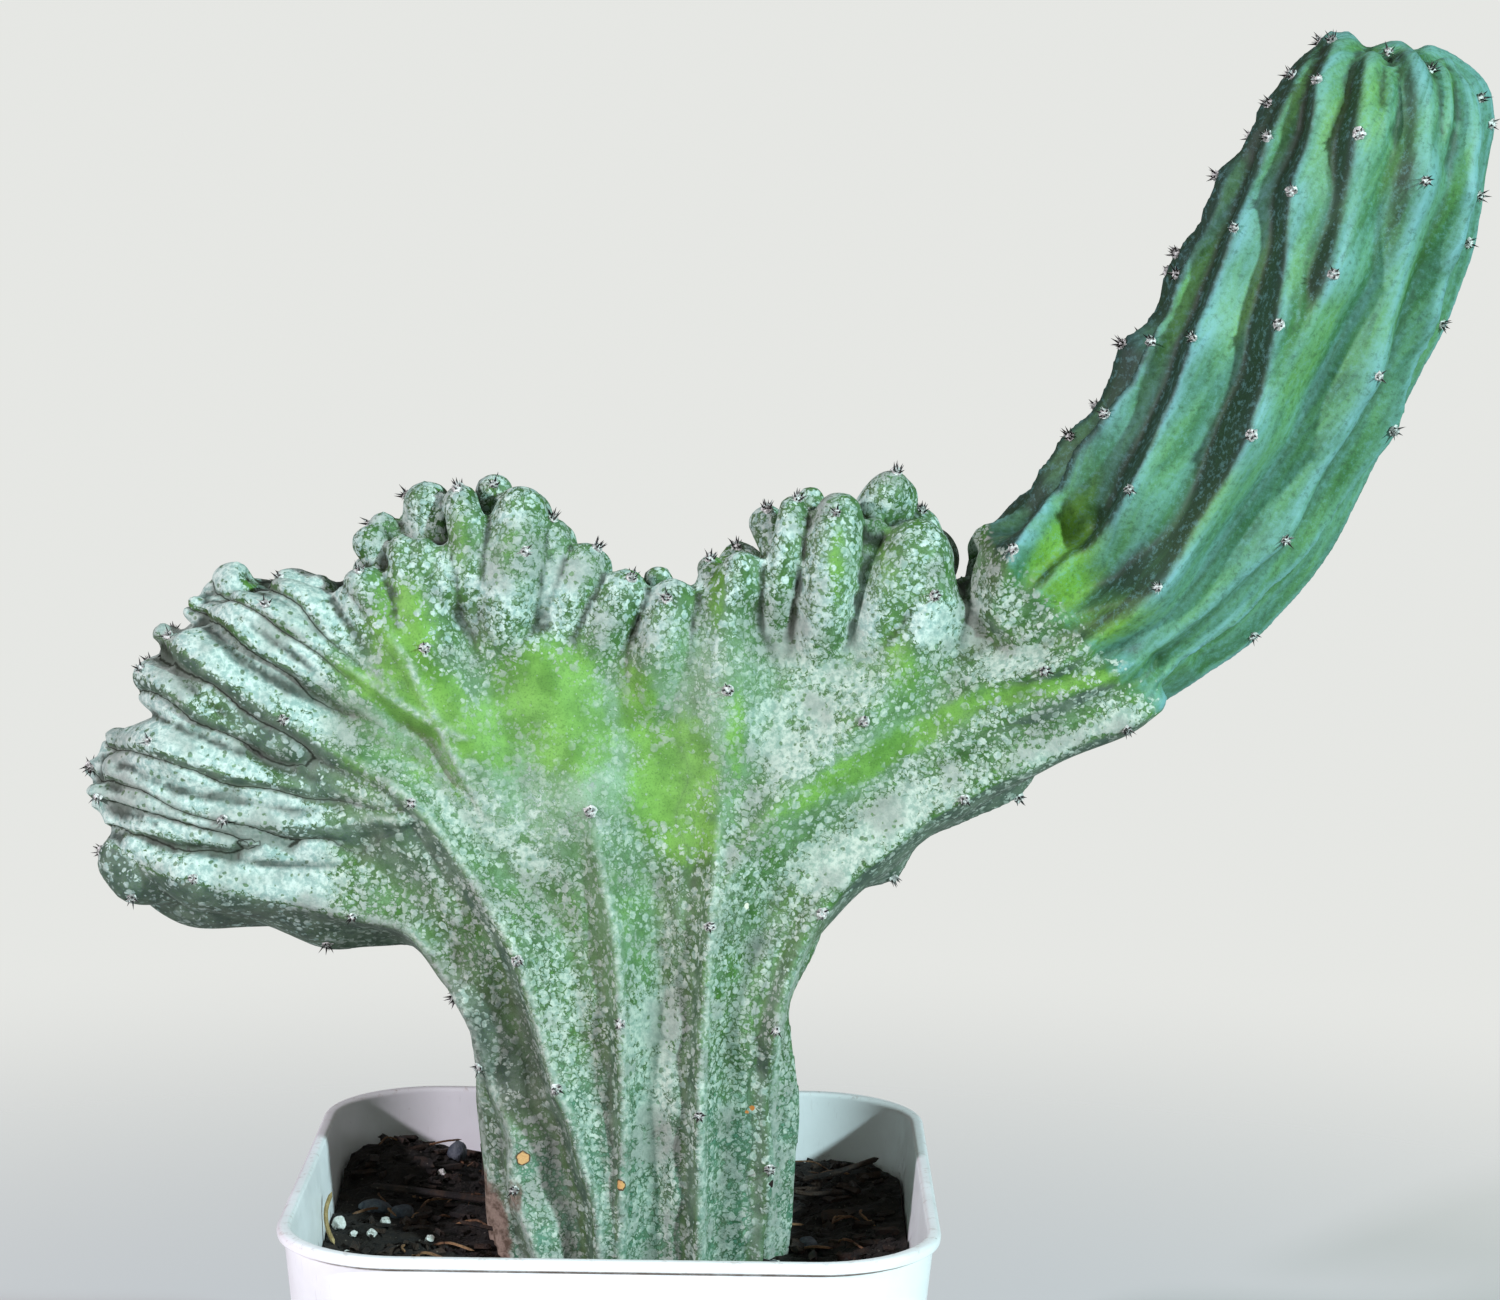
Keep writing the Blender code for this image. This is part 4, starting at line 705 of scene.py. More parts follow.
def add_sheet(bm):
    """The flat sheet: its outline as a filled curve with rounded edges, stood upright."""
    curve = bpy.data.curves.new("sheet", "CURVE")
    curve.dimensions = "2D"
    curve.fill_mode = "BOTH"
    curve.extrude = SHEET_EXTRUDE
    curve.bevel_depth = SHEET_BEVEL
    curve.bevel_resolution = SHEET_BEVEL_STEPS
    spline = curve.splines.new("POLY")
    spline.points.add(len(SHEET) - 1)
    for point, (x, z) in zip(spline.points, SHEET):
        point.co = (x, z, 0, 1)
    spline.use_cyclic_u = True
    obj = link(bpy.data.objects.new("sheet", curve))
    graph = bpy.context.evaluated_depsgraph_get()
    mesh = bpy.data.meshes.new_from_object(obj.evaluated_get(graph))
    bpy.data.objects.remove(obj)
    mesh.transform(Matrix.Rotation(math.pi / 2, 4, "X"))
    bm.from_mesh(mesh)
    bpy.data.meshes.remove(mesh)
    bmesh.ops.remove_doubles(bm, verts=bm.verts, dist=SAME_POINT)


def all_grown_shapes():
    """Every shape that grows into the plant, in one bmesh."""
    bm = bmesh.new()
    add_sheet(bm)
    for stations in CORES:
        add_column(bm, stations)
    for line in rib_lines():
        add_rib(bm, *line)
    for stations in FINGERS:
        add_sausage(bm, stations)
        add_sausage(bm, behind(stations))
    for x, z, y, radius in BUDS:
        add_bud(bm, x, z, y, radius)
    bmesh.ops.translate(bm, vec=(0, 0, SOIL_LEVEL), verts=bm.verts)
    bmesh.ops.scale(bm, vec=(MM, MM, MM), verts=bm.verts)
    return bm


# %% Grow them together
FINE_VOXEL = 1.05
SOFTEN_ROUNDS, SOFTEN_FACTOR = 2, 0.5


def new_piece(name, bm):
    """An object in the scene from a finished bmesh."""
    mesh = bpy.data.meshes.new(name)
    bm.to_mesh(mesh)
    bm.free()
    return link(bpy.data.objects.new(name, mesh))


def apply_modifiers(obj):
    """Put the evaluated mesh in place of the object's own and clear its modifiers."""
    graph = bpy.context.evaluated_depsgraph_get()
    mesh = bpy.data.meshes.new_from_object(obj.evaluated_get(graph))
    old = obj.data
    obj.modifiers.clear()
    obj.data = mesh
    bpy.data.meshes.remove(old)
    mesh.name = obj.name


def soften_and_apply(obj):
    """Smooth a mesh a little, and put the result in place of the object's own mesh."""
    soften = obj.modifiers.new("soften", "SMOOTH")
    soften.factor, soften.iterations = SOFTEN_FACTOR, SOFTEN_ROUNDS
    apply_modifiers(obj)


body = new_piece("cactus_body", all_grown_shapes())
grow = body.modifiers.new("grow_together", "REMESH")
grow.mode = "VOXEL"
grow.voxel_size = FINE_VOXEL * MM
soften_and_apply(body)
print("the grown body has", len(body.data.vertices), "points")

# %% [markdown]
# ## Reading the relief
#
# On the real plant colour follows form: crowns are rubbed pale, and crust lies where water has
# stood; here the creases are also painted dark, as painted shade. A picture wrapped round the plant
# could only show this from one side.
# Here each point of the mesh keeps a few numbers of its own instead, worked out from the shape
# itself, and the skin's material reads them. How far a point lies below or above the average of
# its neighbours tells a crease from a crown.

# %% Measure hollows and crowns
CREASE_ROUNDS = 5
CREASE_SUNK = (0.08, 0.28)


def read_points(mesh):
    """The mesh's points in mm, their normals, and its edges, as arrays."""
    places = np.empty(len(mesh.vertices) * 3)
    mesh.vertices.foreach_get("co", places)
    facings = np.empty(len(mesh.vertices) * 3, dtype=np.float32)
    mesh.vertex_normals.foreach_get("vector", facings)
    pairs = np.empty(len(mesh.edges) * 2, dtype=np.int32)
    mesh.edges.foreach_get("vertices", pairs)
    return places.reshape(-1, 3) / MM, facings.reshape(-1, 3), pairs.reshape(-1, 2)


def spread(values, edges, rounds):
    """Values averaged over their neighbours again and again, so they blur along the surface."""
    count = len(values)
    neighbours = np.bincount(edges.ravel(), minlength=count)
    for _ in range(rounds):
        columns = []
        for column in values.reshape(count, -1).T:
            total = np.bincount(edges[:, 0], weights=column[edges[:, 1]], minlength=count)
            total += np.bincount(edges[:, 1], weights=column[edges[:, 0]], minlength=count)
            columns.append((column + total) / (1 + neighbours))
        values = np.stack(columns, axis=1).reshape(values.shape)
    return values


def sunk(places, facings, pairs, rounds):
    """How far each point lies below the average of its neighbourhood, in mm."""
    return ((spread(places, pairs, rounds) - places) * facings).sum(axis=1)


def smooth_step(values, low, high):
    """0 below low, 1 above high, with an even turn between."""
    t = np.clip((values - low) / (high - low), 0, 1)
    return t * t * (3 - 2 * t)


def hill(values, half_width, middle=0.0):
    """1 at the middle, and less the further a value is from it."""
    return np.exp(-(((values - middle) / half_width) ** 2))


def keep(mesh, name, values):
    """Store one number for each point of the mesh, for the material to read."""
    attribute = mesh.attributes.new(name, "FLOAT", "POINT")
    attribute.data.foreach_set("value", values.astype(np.float32))


points, normals, edges = read_points(body.data)
crease = smooth_step(sunk(points, normals, edges, CREASE_ROUNDS), *CREASE_SUNK)
print("creased share:", round(float((crease > 0.5).mean()), 3))

# %% [markdown]
# Between two ribs the skin is stretched like a soap film: a rib is a sharp crown with hollow
# flanks, not a roll. So points that lie in a hollow are drawn out towards the average of their
# neighbours, round after round, while crowns stay where they are. The crest's folds are young
# and tight, so there only a few rounds are allowed to count.

# %% Stretch the skin between the ribs
STRETCH_ROUNDS = 40
READ_AFTER_ROUNDS = 10
# Where each part begins and where it is whole, in mm: x, or z above or below the soil's level
CREST_HEIGHT, CREST_RIGHT_END = (138, 152), (78, 92)
LOBE_FOLDS_LEFT = (48, 76)
ARM_ACROSS, ARM_HEIGHT, ARM_TIP_HEIGHT = (84, 100), (125, 140), (252, 268)
TRUNK_BELOW = (-92, -70)
# How much of the stretching each part takes, where 1 is all of it
CREST_SHARE, LOBE_SHARE, ARM_SHARE, TIP_SHARE, TRUNK_SHARE = 0.01, 0.0, 0.1, 0.05, 0.4


def seen_place(places):
    """Where points look to be in the fan's plane, from the eye or, behind, from its mirror."""
    nearness = -EYE.y / (-np.abs(places[:, 1]) - EYE.y)
    across = EYE.x + (places[:, 0] - EYE.x) * nearness
    height = EYE.z + (places[:, 2] - SOIL_LEVEL - EYE.z) * nearness
    return across, height


def stretch(mesh, share, rounds):
    """Draw the points in hollows out to the average of their neighbours."""
    for done in range(rounds):
        if done % READ_AFTER_ROUNDS == 0:
            places, facings, pairs = read_points(mesh)
        pull = spread(places, pairs, 1) - places
        hollow = (pull * facings).sum(axis=1) > 0
        places = places + pull * (share * hollow)[:, None]
        if (done + 1) % READ_AFTER_ROUNDS == 0:
            mesh.vertices.foreach_set("co", (places * MM).ravel())
            mesh.update()


across, height = seen_place(points)
crest = smooth_step(height, *CREST_HEIGHT) * (1 - smooth_step(across, *CREST_RIGHT_END))
lobe_folds = smooth_step(-across, *LOBE_FOLDS_LEFT)
arm_form = smooth_step(across, *ARM_ACROSS) * smooth_step(height, *ARM_HEIGHT)
arm_tip = smooth_step(height, *ARM_TIP_HEIGHT)
share = np.ones(len(points))
for part, most in (
    (crest, CREST_SHARE), (lobe_folds, LOBE_SHARE), (arm_form, ARM_SHARE), (arm_tip, TIP_SHARE),
    (smooth_step(-height, *TRUNK_BELOW), TRUNK_SHARE),
):
    share = np.minimum(share, 1 - (1 - most) * part)
stretch(body.data, share, STRETCH_ROUNDS)
soften_and_apply(body)
print("mean share of the stretching:", round(float(share.mean()), 2))

# %% [markdown]
# On the fan a rib isn't even: its upper or right flank is broad and pale, the other one narrow,
# and a thin crease lies close under the crown; the skin's material paints the narrow flank dark,
# as painted shade. So each point looks for its own rib, counting a step below a crown for more
# than a step above it. The seam where two ribs are equally near is pressed in, and the skin's
# material later draws it dark, as painted shade.

# %% Find each point's own rib
# Ribs in such an order that neighbours take turns, so the seam's sign changes across it
RIB_ORDER = [
    "trunk_left_edge", "trunk_left_fold", "left_main", "middle_left", "middle_right", "right_main",
    "left_middle", "left_low", "left_low_finger", "left_low_fold", "left_top", "left_high",
    "crest_saddle", "left_top_low", "right_crest", "left_top_back",
]
ABOVE_COUNTS, BELOW_COUNTS = 0.62, 1.5
# The one rib whose dark flank is as broad as its pale one
BROAD_BELOW = {"left_main": 0.7}
SEAM_WAVE, SEAM_WAVE_LENGTH = 0.14, 3.2
FARTHEST = 9


def follow(path, spots):
    """For each spot: its nearest point's number on a path, how far that is, aside and ahead."""
    headings = np.gradient(path, axis=0)
    headings /= np.linalg.norm(headings, axis=1)[:, None]
    nearest = np.zeros(len(spots), dtype=int)
    smallest = np.full(len(spots), np.inf)
    for order, point in enumerate(path):
        gap = (spots[:, 0] - point[0]) ** 2 + (spots[:, 1] - point[1]) ** 2
        nearer = gap < smallest
        nearest[nearer] = order
        smallest[nearer] = gap[nearer]
    offset, along = spots - path[nearest], headings[nearest]
    aside = along[:, 1] * offset[:, 0] - along[:, 0] * offset[:, 1]
    return nearest, np.sqrt(smallest), aside, (offset * along).sum(axis=1)


def beside_ribs(across, height):
    """How far each point lies above its rib's crown, and its distance from the seam, signed."""
    spots = np.stack([across, height], axis=1)
    best, second = np.full(len(spots), 1e6), np.full(len(spots), 1e6)
    flank, turn = np.zeros(len(spots)), np.ones(len(spots))
    for order, name in enumerate(RIB_ORDER):
        stations = [Vector(s) for s in FRONT_RIBS[name][2]]
        path = np.array([p[:2] for p in smooth_path(stations, PATH_STEP)])
        nearest, distance, side, _ = follow(path, spots)
        past_end = (nearest == 0) | (nearest == len(path) - 1)
        away = np.where(past_end, distance, np.abs(side))
        away *= np.where(side > 0, ABOVE_COUNTS, BROAD_BELOW.get(name, BELOW_COUNTS))
        away *= 1 + SEAM_WAVE * np.sin(nearest * PATH_STEP / SEAM_WAVE_LENGTH + 2 * order)
        own = away < best
        second = np.where(own, best, np.minimum(second, away))
        flank = np.where(own, side, flank)
        turn = np.where(own, 1 - 2 * (order % 2), turn)
        best = np.where(own, away, best)
    to_seam = (second - best) * turn
    return np.clip(flank, -FARTHEST, FARTHEST), np.clip(to_seam, -FARTHEST, FARTHEST)


print("ribs that are told apart:", len(RIB_ORDER))

# %% Press the creases in and draw the crowns out
# The narrow gap between crest and arm comes out ragged, so its sides are smoothed and filled up
GAP_BY_ARM, GAP_REACH = (81.5, 166.5), 7.5
GAP_ROUNDS, GAP_FACING_ROUNDS, GAP_FILLED = 45, 30, 2.6
SEAM_DEPTH, SEAM_WIDTH = 1.1, 1.0
SEAM_ROUNDING, ROUNDING_WIDTH = 1.3, 3.0
CROWN_HEIGHT, CROWN_WIDTH = 1.0, 1.4
GROOVE_DEPTH, GROOVE_WIDTH, GROOVE_MIDDLE = 1.5, 2.8, -4.8
# Right of these the ribs have no narrow dark flank: x and z of the shoulder, and x of the gap
SHOULDER_ACROSS, SHOULDER_HEIGHT, BEFORE_GAP = (30, 48), (66, 86), (60, 75)
RIBS_LOW_DOWN = (-122, -78)
# The left main rib, as a slanted band
MAIN_RIB_SLANT, MAIN_RIB_HEIGHT, MAIN_RIB_BORDER = 0.42, 60, (-12, 10)

points, normals, edges = read_points(body.data)
across, height = seen_place(points)
by_gap = hill(np.hypot(across - GAP_BY_ARM[0], height - GAP_BY_ARM[1]), GAP_REACH)
points += (spread(points, edges, GAP_ROUNDS) - points) * by_gap[:, None]
filling = spread(normals.astype(float), edges, GAP_FACING_ROUNDS)
points += filling * (GAP_FILLED * by_gap)[:, None]
flank, seam = beside_ribs(across, height)
sided = 1 - smooth_step(across, *SHOULDER_ACROSS) * smooth_step(height, *SHOULDER_HEIGHT)
sided *= 1 - smooth_step(across, *BEFORE_GAP)
slanted = -across - MAIN_RIB_SLANT * (height - MAIN_RIB_HEIGHT)
ribbed = np.maximum(smooth_step(-height, *RIBS_LOW_DOWN), smooth_step(slanted, *MAIN_RIB_BORDER))
on_ribs = sided * (1 - lobe_folds) * (1 - crest) * ribbed
moved = -SEAM_DEPTH * lobe_folds * hill(seam, SEAM_WIDTH)
moved -= SEAM_ROUNDING * lobe_folds * hill(seam, ROUNDING_WIDTH)
moved += CROWN_HEIGHT * on_ribs * hill(flank, CROWN_WIDTH)
moved -= GROOVE_DEPTH * on_ribs * hill(flank, GROOVE_WIDTH, GROOVE_MIDDLE)
moved = spread(moved, edges, 1)
body.data.vertices.foreach_set("co", ((points + normals * moved[:, None]) * MM).ravel())
body.data.update()
print("pressed in and drawn out, mm:", moved.min().round(1), moved.max().round(1))

# %% Wide hollows and crowns, and which way the skin faces
WIDE_ROUNDS, FACING_ROUNDS = 60, 4
VALLEY_SUNK, CROWN_RAISED = (0.2, 1.6), (0.3, 2.0)

points, normals, edges = read_points(body.data)
sunk_wide = sunk(points, normals, edges, WIDE_ROUNDS)
valley = smooth_step(sunk_wide, *VALLEY_SUNK)
crown = smooth_step(-sunk_wide, *CROWN_RAISED)
rightward, _, upward = spread(normals.astype(float), edges, FACING_ROUNDS).T
print("sunk in the wide, mm:", np.percentile(sunk_wide, [1, 25, 50, 75, 99]).round(2))

# %% [markdown]
# ## Laying the colours out
#
# Three things change the skin from place to place. Bare yellow-green skin shows in soft patches
# where the crust has never taken. Hard-water crust lies on every flank that faces up, while the
# flanks that face down stay clean and are painted slate blue, as painted shade. The arm is this
# year's growth, so it is smooth and only bloomed. The patches are listed as soft ovals in the plane
# of the fan, and the crust follows from which way the skin faces.

# %% Where the skin is bare, thickly crusted or corky
# Ovals: x, z, half length, half width, turn in degrees, strength
BARE_PATCHES = [
    (-18, 134, 14, 13, -10, 1.0), (-30, 124, 12, 8, -60, 0.7), (12, 113, 17, 11, 82, 1.0),
    (16, 100, 8, 7, 10, 0.9), (4, 130, 6, 14, 8, 0.65), (-42, 131, 16, 7, -52, 0.95),
    (-51, 147, 9, 15, 10, 0.85), (-12, 124, 12, 11, 0, 0.85), (-51, 130, 20, 3.6, -33, 0.95),
    (65, 143, 5, 12, 15, 0.6), (62, 121, 34, 4.2, 31, 0.75), (100, 137, 30, 2.6, 12, 0.7),
    (27, 124, 3, 14, 0, 0.6), (4, 84, 9, 17, 0, 0.3), (-61, 115, 12, 4, -35, 0.35),
    (22, 160, 2.5, 12, 0, 0.6), (50, 165, 2.5, 10, 0, 0.6), (-44, 117, 18, 7, -35, 0.45),
    (-38, 172, 3, 10, 0, 0.45), (62, 168, 4, 10, 10, 0.4), (-26, 168, 3, 8, 0, 0.4),
    (-85, 160, 6, 3, 20, 0.5),
]
THICK_PATCHES = [
    (92, 143, 7, 4, 22, 0.75), (74, 150, 7, 7, 0, 0.5), (50, 146, 13, 14, 0, 0.3),
    (60, 102, 24, 6, 32, 0.4), (112, 126, 16, 3.5, 30, 0.5), (8, 46, 9, 22, 0, 0.25),
    (-20, 160, 9, 14, 0, 0.25), (-36, 108, 22, 7, -40, 0.4), (40, 125, 12, 12, 0, 0.25),
    (-98, 112, 34, 14, 0, 0.5), (-90, 142, 22, 9, -30, 0.4),
]
# Flanks painted dark, as painted shade, although they face the front
DARK_PATCHES = [
    (-79, 119, 31, 8, -40, 1.0), (-52, 96, 24, 11, -35, 0.9), (-31, 50, 32, 9, -62, 1.0),
    (-44, 78, 16, 5, -50, 0.8), (-34, 22, 6, 22, 0, 0.5), (-104, 96, 12, 4, 20, 0.5),
]
# Where the crust is only a thin even film
FILM_PATCHES = [
    (-14, 118, 30, 26, 0, 1.0), (20, 132, 20, 22, 0, 0.8), (-45, 122, 28, 12, -40, 0.85),
    (56, 118, 30, 9, 32, 0.7), (2, 82, 16, 22, 0, 0.5), (60, 140, 12, 16, 0, 0.5),
    (-24, 166, 26, 13, 0, 0.4), (54, 166, 16, 18, 0, 0.4),
]
CORK_PATCHES = [(-30, 4, 5, 15, 10, 1.0), (-24, 12, 2.5, 5, 0, 0.6)]
LIME_PATCHES = [
    (101, 158, 14, 6, 35, 1.0), (99, 168, 22, 4, 60, 1.0), (108, 150, 20, 4.5, 20, 0.9),
    (106, 170, 12, 6, 60, 0.8), (168, 268, 24, 22, -10, 0.4), (170, 272, 6, 14, 0, 0.6),
    (135, 178, 18, 3.5, 55, 0.6), (146, 232, 24, 3, 68, 0.6), (158, 215, 22, 3, 66, 0.5),
    (112, 154, 15, 4.5, 28, 0.8),
]
OVAL_EDGE = (0.3, 1.5)


def under_ovals(ovals):
    """How strongly a set of soft ovals lies over each point, 0 to 1."""
    strongest = np.zeros(len(across))
    for middle_x, middle_z, half_length, half_width, turn, strength in ovals:
        cosine, sine = math.cos(math.radians(turn)), math.sin(math.radians(turn))
        along = (across - middle_x) * cosine + (height - middle_z) * sine
        aside = (height - middle_z) * cosine - (across - middle_x) * sine
        away = np.hypot(along / half_length, aside / half_width)
        strongest = np.maximum(strongest, strength * (1 - smooth_step(away, *OVAL_EDGE)))
    return strongest


across, height = seen_place(points)
bare, film, dark = under_ovals(BARE_PATCHES), under_ovals(FILM_PATCHES), under_ovals(DARK_PATCHES)
print("bare share:", round(float(bare.mean()), 3))

# %% Which parts and flanks the colours follow
# A point of the line where the crust ends and the arm begins, and which way it faces
ARM_EDGE, ARM_EDGE_FACING, ARM_EDGE_WIDTH = (105.5, 147.5), (0.667, 0.745), (-5, 9)
LOBE_LEFT = (58, 78)
FACES_UP, FACES_FAR_DOWN = (-0.55, -0.05), (-0.85, -0.6)
# Distances from a rib's crown, in mm: its pale flank, and the next rib's beyond the dark one
PALE_FLANK, NEXT_PALE_FLANK, DARK_FLANK = (-1.6, 0.4), (3.5, 8), (-9, -2)
FAN_BY_FLANK, FILM_HIDES_FLANK = 0.85, 0.5
DARKENED = 0.92
FACES_LEFT, ARM_FACES_LEFT = (0.2, 0.75), (0.0, 0.95)
LOBE_PALER, PATCH_DARK = 0.6, 0.85

from_edge = (across - ARM_EDGE[0]) * ARM_EDGE_FACING[0]
from_edge += (height - ARM_EDGE[1]) * ARM_EDGE_FACING[1]
arm = smooth_step(from_edge, *ARM_EDGE_WIDTH) * smooth_step(across, *CREST_RIGHT_END)
lobe = smooth_step(-across, *LOBE_LEFT)
on_pale_side = smooth_step(flank, *PALE_FLANK)
on_pale_side = np.maximum(on_pale_side, smooth_step(-flank, *NEXT_PALE_FLANK) * (1 - lobe))
by_flank = sided * np.maximum(lobe, FAN_BY_FLANK * (1 - crest) * ribbed)
by_flank *= 1 - FILM_HIDES_FLANK * film
facing_up = smooth_step(upward, *FACES_UP) * (1 - by_flank)
facing_up += on_pale_side * smooth_step(upward, *FACES_FAR_DOWN) * by_flank
facing_up *= 1 - DARKENED * dark
lobe_dark = 1 - LOBE_PALER * lobe
# Painted shade: flanks that face left, the narrow flank beside a crown and the dark patches get dark
# colour
beside_crown = sided * (1 - on_pale_side) * ribbed * smooth_step(flank, *DARK_FLANK) * lobe_dark
dark_side = np.maximum(smooth_step(-rightward, *FACES_LEFT), beside_crown)
dark_side = np.maximum(dark_side, PATCH_DARK * dark * lobe_dark)
dark_side = dark_side * (1 - arm) + smooth_step(-rightward, *ARM_FACES_LEFT) * arm
print("share of the arm:", round(float(arm.mean()), 2))

# %% How much crust lies where, and what the mesh keeps
CRUST_AT_LEAST, CRUST_ON_TOP = 0.26, 0.34
LOBE_CRUST, LOBE_CRUST_FROM = 0.55, 0.1
CREST_CRUST, CREST_RIGHT_BARE, CREST_FACES_RIGHT = 0.12, 0.3, (0.1, 0.6)
BARE_CLEARS, CREST_SHADE = 0.9, 0.7
FRINGE_MIDDLE, FRINGE_WIDTH = 0.35, 0.35
CROWN_LINE_WIDTH, CROWN_LINE_MIDDLE = 0.75, 0.5
TIP_CREASES, ALL_CREASES = 0.6, 0.2
TEAL_BELOW = (-75, -15)
FAN_SEAMS, CREST_PALE = 0.25, 0.8

crust = CRUST_AT_LEAST + CRUST_ON_TOP * facing_up + LOBE_CRUST * lobe * (facing_up - LOBE_CRUST_FROM)
crest_right = crest * smooth_step(rightward, *CREST_FACES_RIGHT)
crust *= 1 + CREST_CRUST * crest - CREST_RIGHT_BARE * crest_right
crust += under_ovals(THICK_PATCHES) * facing_up
fringe = np.clip(1 - np.abs(facing_up - FRINGE_MIDDLE) / FRINGE_WIDTH, 0, 1)
creased_parts = np.maximum(np.maximum(crest, lobe), TIP_CREASES * arm_tip + ALL_CREASES)
# The crease, valley, shade, left and seam numbers below set where the skin's material paints shade
for name, values in {
    "crease": crease * creased_parts,
    "valley": valley,
    "crown": crown,
    "arm": arm,
    "bare": bare,
    "crust": np.clip(crust * (1 - arm) * (1 - BARE_CLEARS * bare), 0, 1),
    "shade": (1 - facing_up) * (1 - arm) * (1 - CREST_SHADE * crest),
    "teal": smooth_step(-height, *TEAL_BELOW) * (1 - arm),
    "fringe": fringe * (1 - arm),
    "left": dark_side,
    "film": film,
    "seam": seam,
    "seamed": np.clip(lobe + FAN_SEAMS * sided * (1 - film), 0, 1) * (1 - arm),
    "crown_line": hill(flank, CROWN_LINE_WIDTH, CROWN_LINE_MIDDLE) * on_ribs,
    "pale": np.clip(lobe + CREST_PALE * crest, 0, 1),
    "cork": under_ovals(CORK_PATCHES),
    "lime": under_ovals(LIME_PATCHES) * arm,
}.items():
    keep(body.data, name, values)
print("mean crust before bare patches:", round(float(crust.mean()), 2))

# %% [markdown]
# The bloom on the arm lies in long streaks. A noise in plain space can't follow a curved arm, so
# each point also keeps its place on the arm as if the arm were straight: where it is on the
# circle round the axis, and how far along. A noise read there, squeezed lengthwise, makes streaks.

# %% Straighten the arm for its streaks
AXIS_STEP = 3.0
LENGTHWISE = 0.12
CIRCLE_RADIUS = 30


def unbent(places):
    """Points round the curved arm as they would lie round a straight one."""
    axis = np.array([p[:] for p in smooth_path([Vector(p) for p in ARM_AXIS], AXIS_STEP)])
    nearest, _, aside, ahead = follow(axis, places[:, [0, 2]] - (0, SOIL_LEVEL))
    angle = np.arctan2(places[:, 1], aside)
    along = (nearest * AXIS_STEP + ahead) * LENGTHWISE
    on_circle = CIRCLE_RADIUS * np.cos(angle), CIRCLE_RADIUS * np.sin(angle)
    return np.stack([*on_circle, along], axis=1) * MM


streak = body.data.attributes.new("streak", "FLOAT_VECTOR", "POINT")
streak.data.foreach_set("vector", unbent(points).astype(np.float32).ravel())
print("points on the arm:", int((arm > 0.5).sum()))

# %% Thin the mesh where it is flat
BODY_TRIANGLES = 188000

body.data.calc_loop_triangles()
thin = body.modifiers.new("thin", "DECIMATE")
thin.ratio = BODY_TRIANGLES / len(body.data.loop_triangles)
apply_modifiers(body)
body.data.shade_smooth()
body_tree = BVHTree.FromObject(body, bpy.context.evaluated_depsgraph_get())
print("triangles of the body:", len(body.data.polygons))

# %% [markdown]
# ## The skin
#
# Close up the crust is thousands of flakes of half a millimetre to two, each with its own edge,
# with dark green skin in the cracks between. A Voronoi pattern makes the flakes, because each of
# its cells has a random number: a cell is crusted where that number is below the crust that its
# place asks for. So one pattern gives loose specks, mottled ground and closed crust. A noise bends
# the cells' borders, since straight ones would look like tiles.

# %% Helpers for colours that vary
def per(millimetres):
    """The texture scale whose features are about this size."""
    return 1 / (millimetres * MM)


def number(operation, a, b=0.5, c=0.5, clamp=False):
    """The result of a Math node."""
    return add("Math", {0: a, 1: b, 2: c}, operation=operation, use_clamp=clamp).outputs[0]


def times(a, b, clamp=False):
    """Two values multiplied."""
    return number("MULTIPLY", a, b, clamp=clamp)


def over(amount, below, above):
    """One colour laid over another by an amount from 0 to 1."""
    return add("Mix", {0: amount, 6: below, 7: above}, data_type="RGBA").outputs[2]


def grain(place, size, detail=2.0, rough=0.55):
    """A soft noise about 0.5 with features of a size in mm."""
    return add("TexNoise", {
        "Vector": place, "Scale": per(size), "Detail": detail, "Roughness": rough,
    }).outputs["Fac"]


def cells(place, size, feature="F1"):
    """A Voronoi node with cells of a size in mm."""
    return add("TexVoronoi", {"Vector": place, "Scale": per(size)}, feature=feature)


def stored(tree, name):
    """A number that the mesh keeps for each of its points."""
    return put(tree, "Attribute", attribute_name=name).outputs["Fac"]


def group(name, inputs, outputs):
    """An empty node group with named sockets: the tree, its input node and its output node."""
    tree = bpy.data.node_groups.new(name, "ShaderNodeTree")
    for title, kind in inputs.items():
        tree.interface.new_socket(title, in_out="INPUT", socket_type="NodeSocket" + kind)
    for title, kind in outputs.items():
        tree.interface.new_socket(title, in_out="OUTPUT", socket_type="NodeSocket" + kind)
    return tree, tree.nodes.new("NodeGroupInput"), tree.nodes.new("NodeGroupOutput")


def use(node_group, inputs):
    """Place a node group in a material and give its inputs their values."""
    return add("Group", inputs, node_tree=node_group)


# %% [markdown]
# Two effects turn up on almost every surface here, so each is a node group: a colour that wanders
# between two tones, and small round specks of many sizes.

# %% Wandering tone and round specks
wander, wander_in, wander_out = group(
    "wandering_tone", {"Place": "Vector", "Size": "Float", "First": "Color", "Second": "Color"},
    {"Color": "Color", "Amount": "Float"})
wander_scale = number("DIVIDE", 1 / MM, wander_in.outputs["Size"])
wander_noise = add("TexNoise", {
    "Vector": wander_in.outputs["Place"], "Scale": wander_scale, "Detail": 4.0, "Roughness": 0.6})
wander_amount = between(wander_noise.outputs["Fac"], 0.36, 0.64)
wander_tone = over(wander_amount, wander_in.outputs["First"], wander_in.outputs["Second"])
wander.links.new(wander_tone, wander_out.inputs["Color"])
wander.links.new(wander_amount, wander_out.inputs["Amount"])

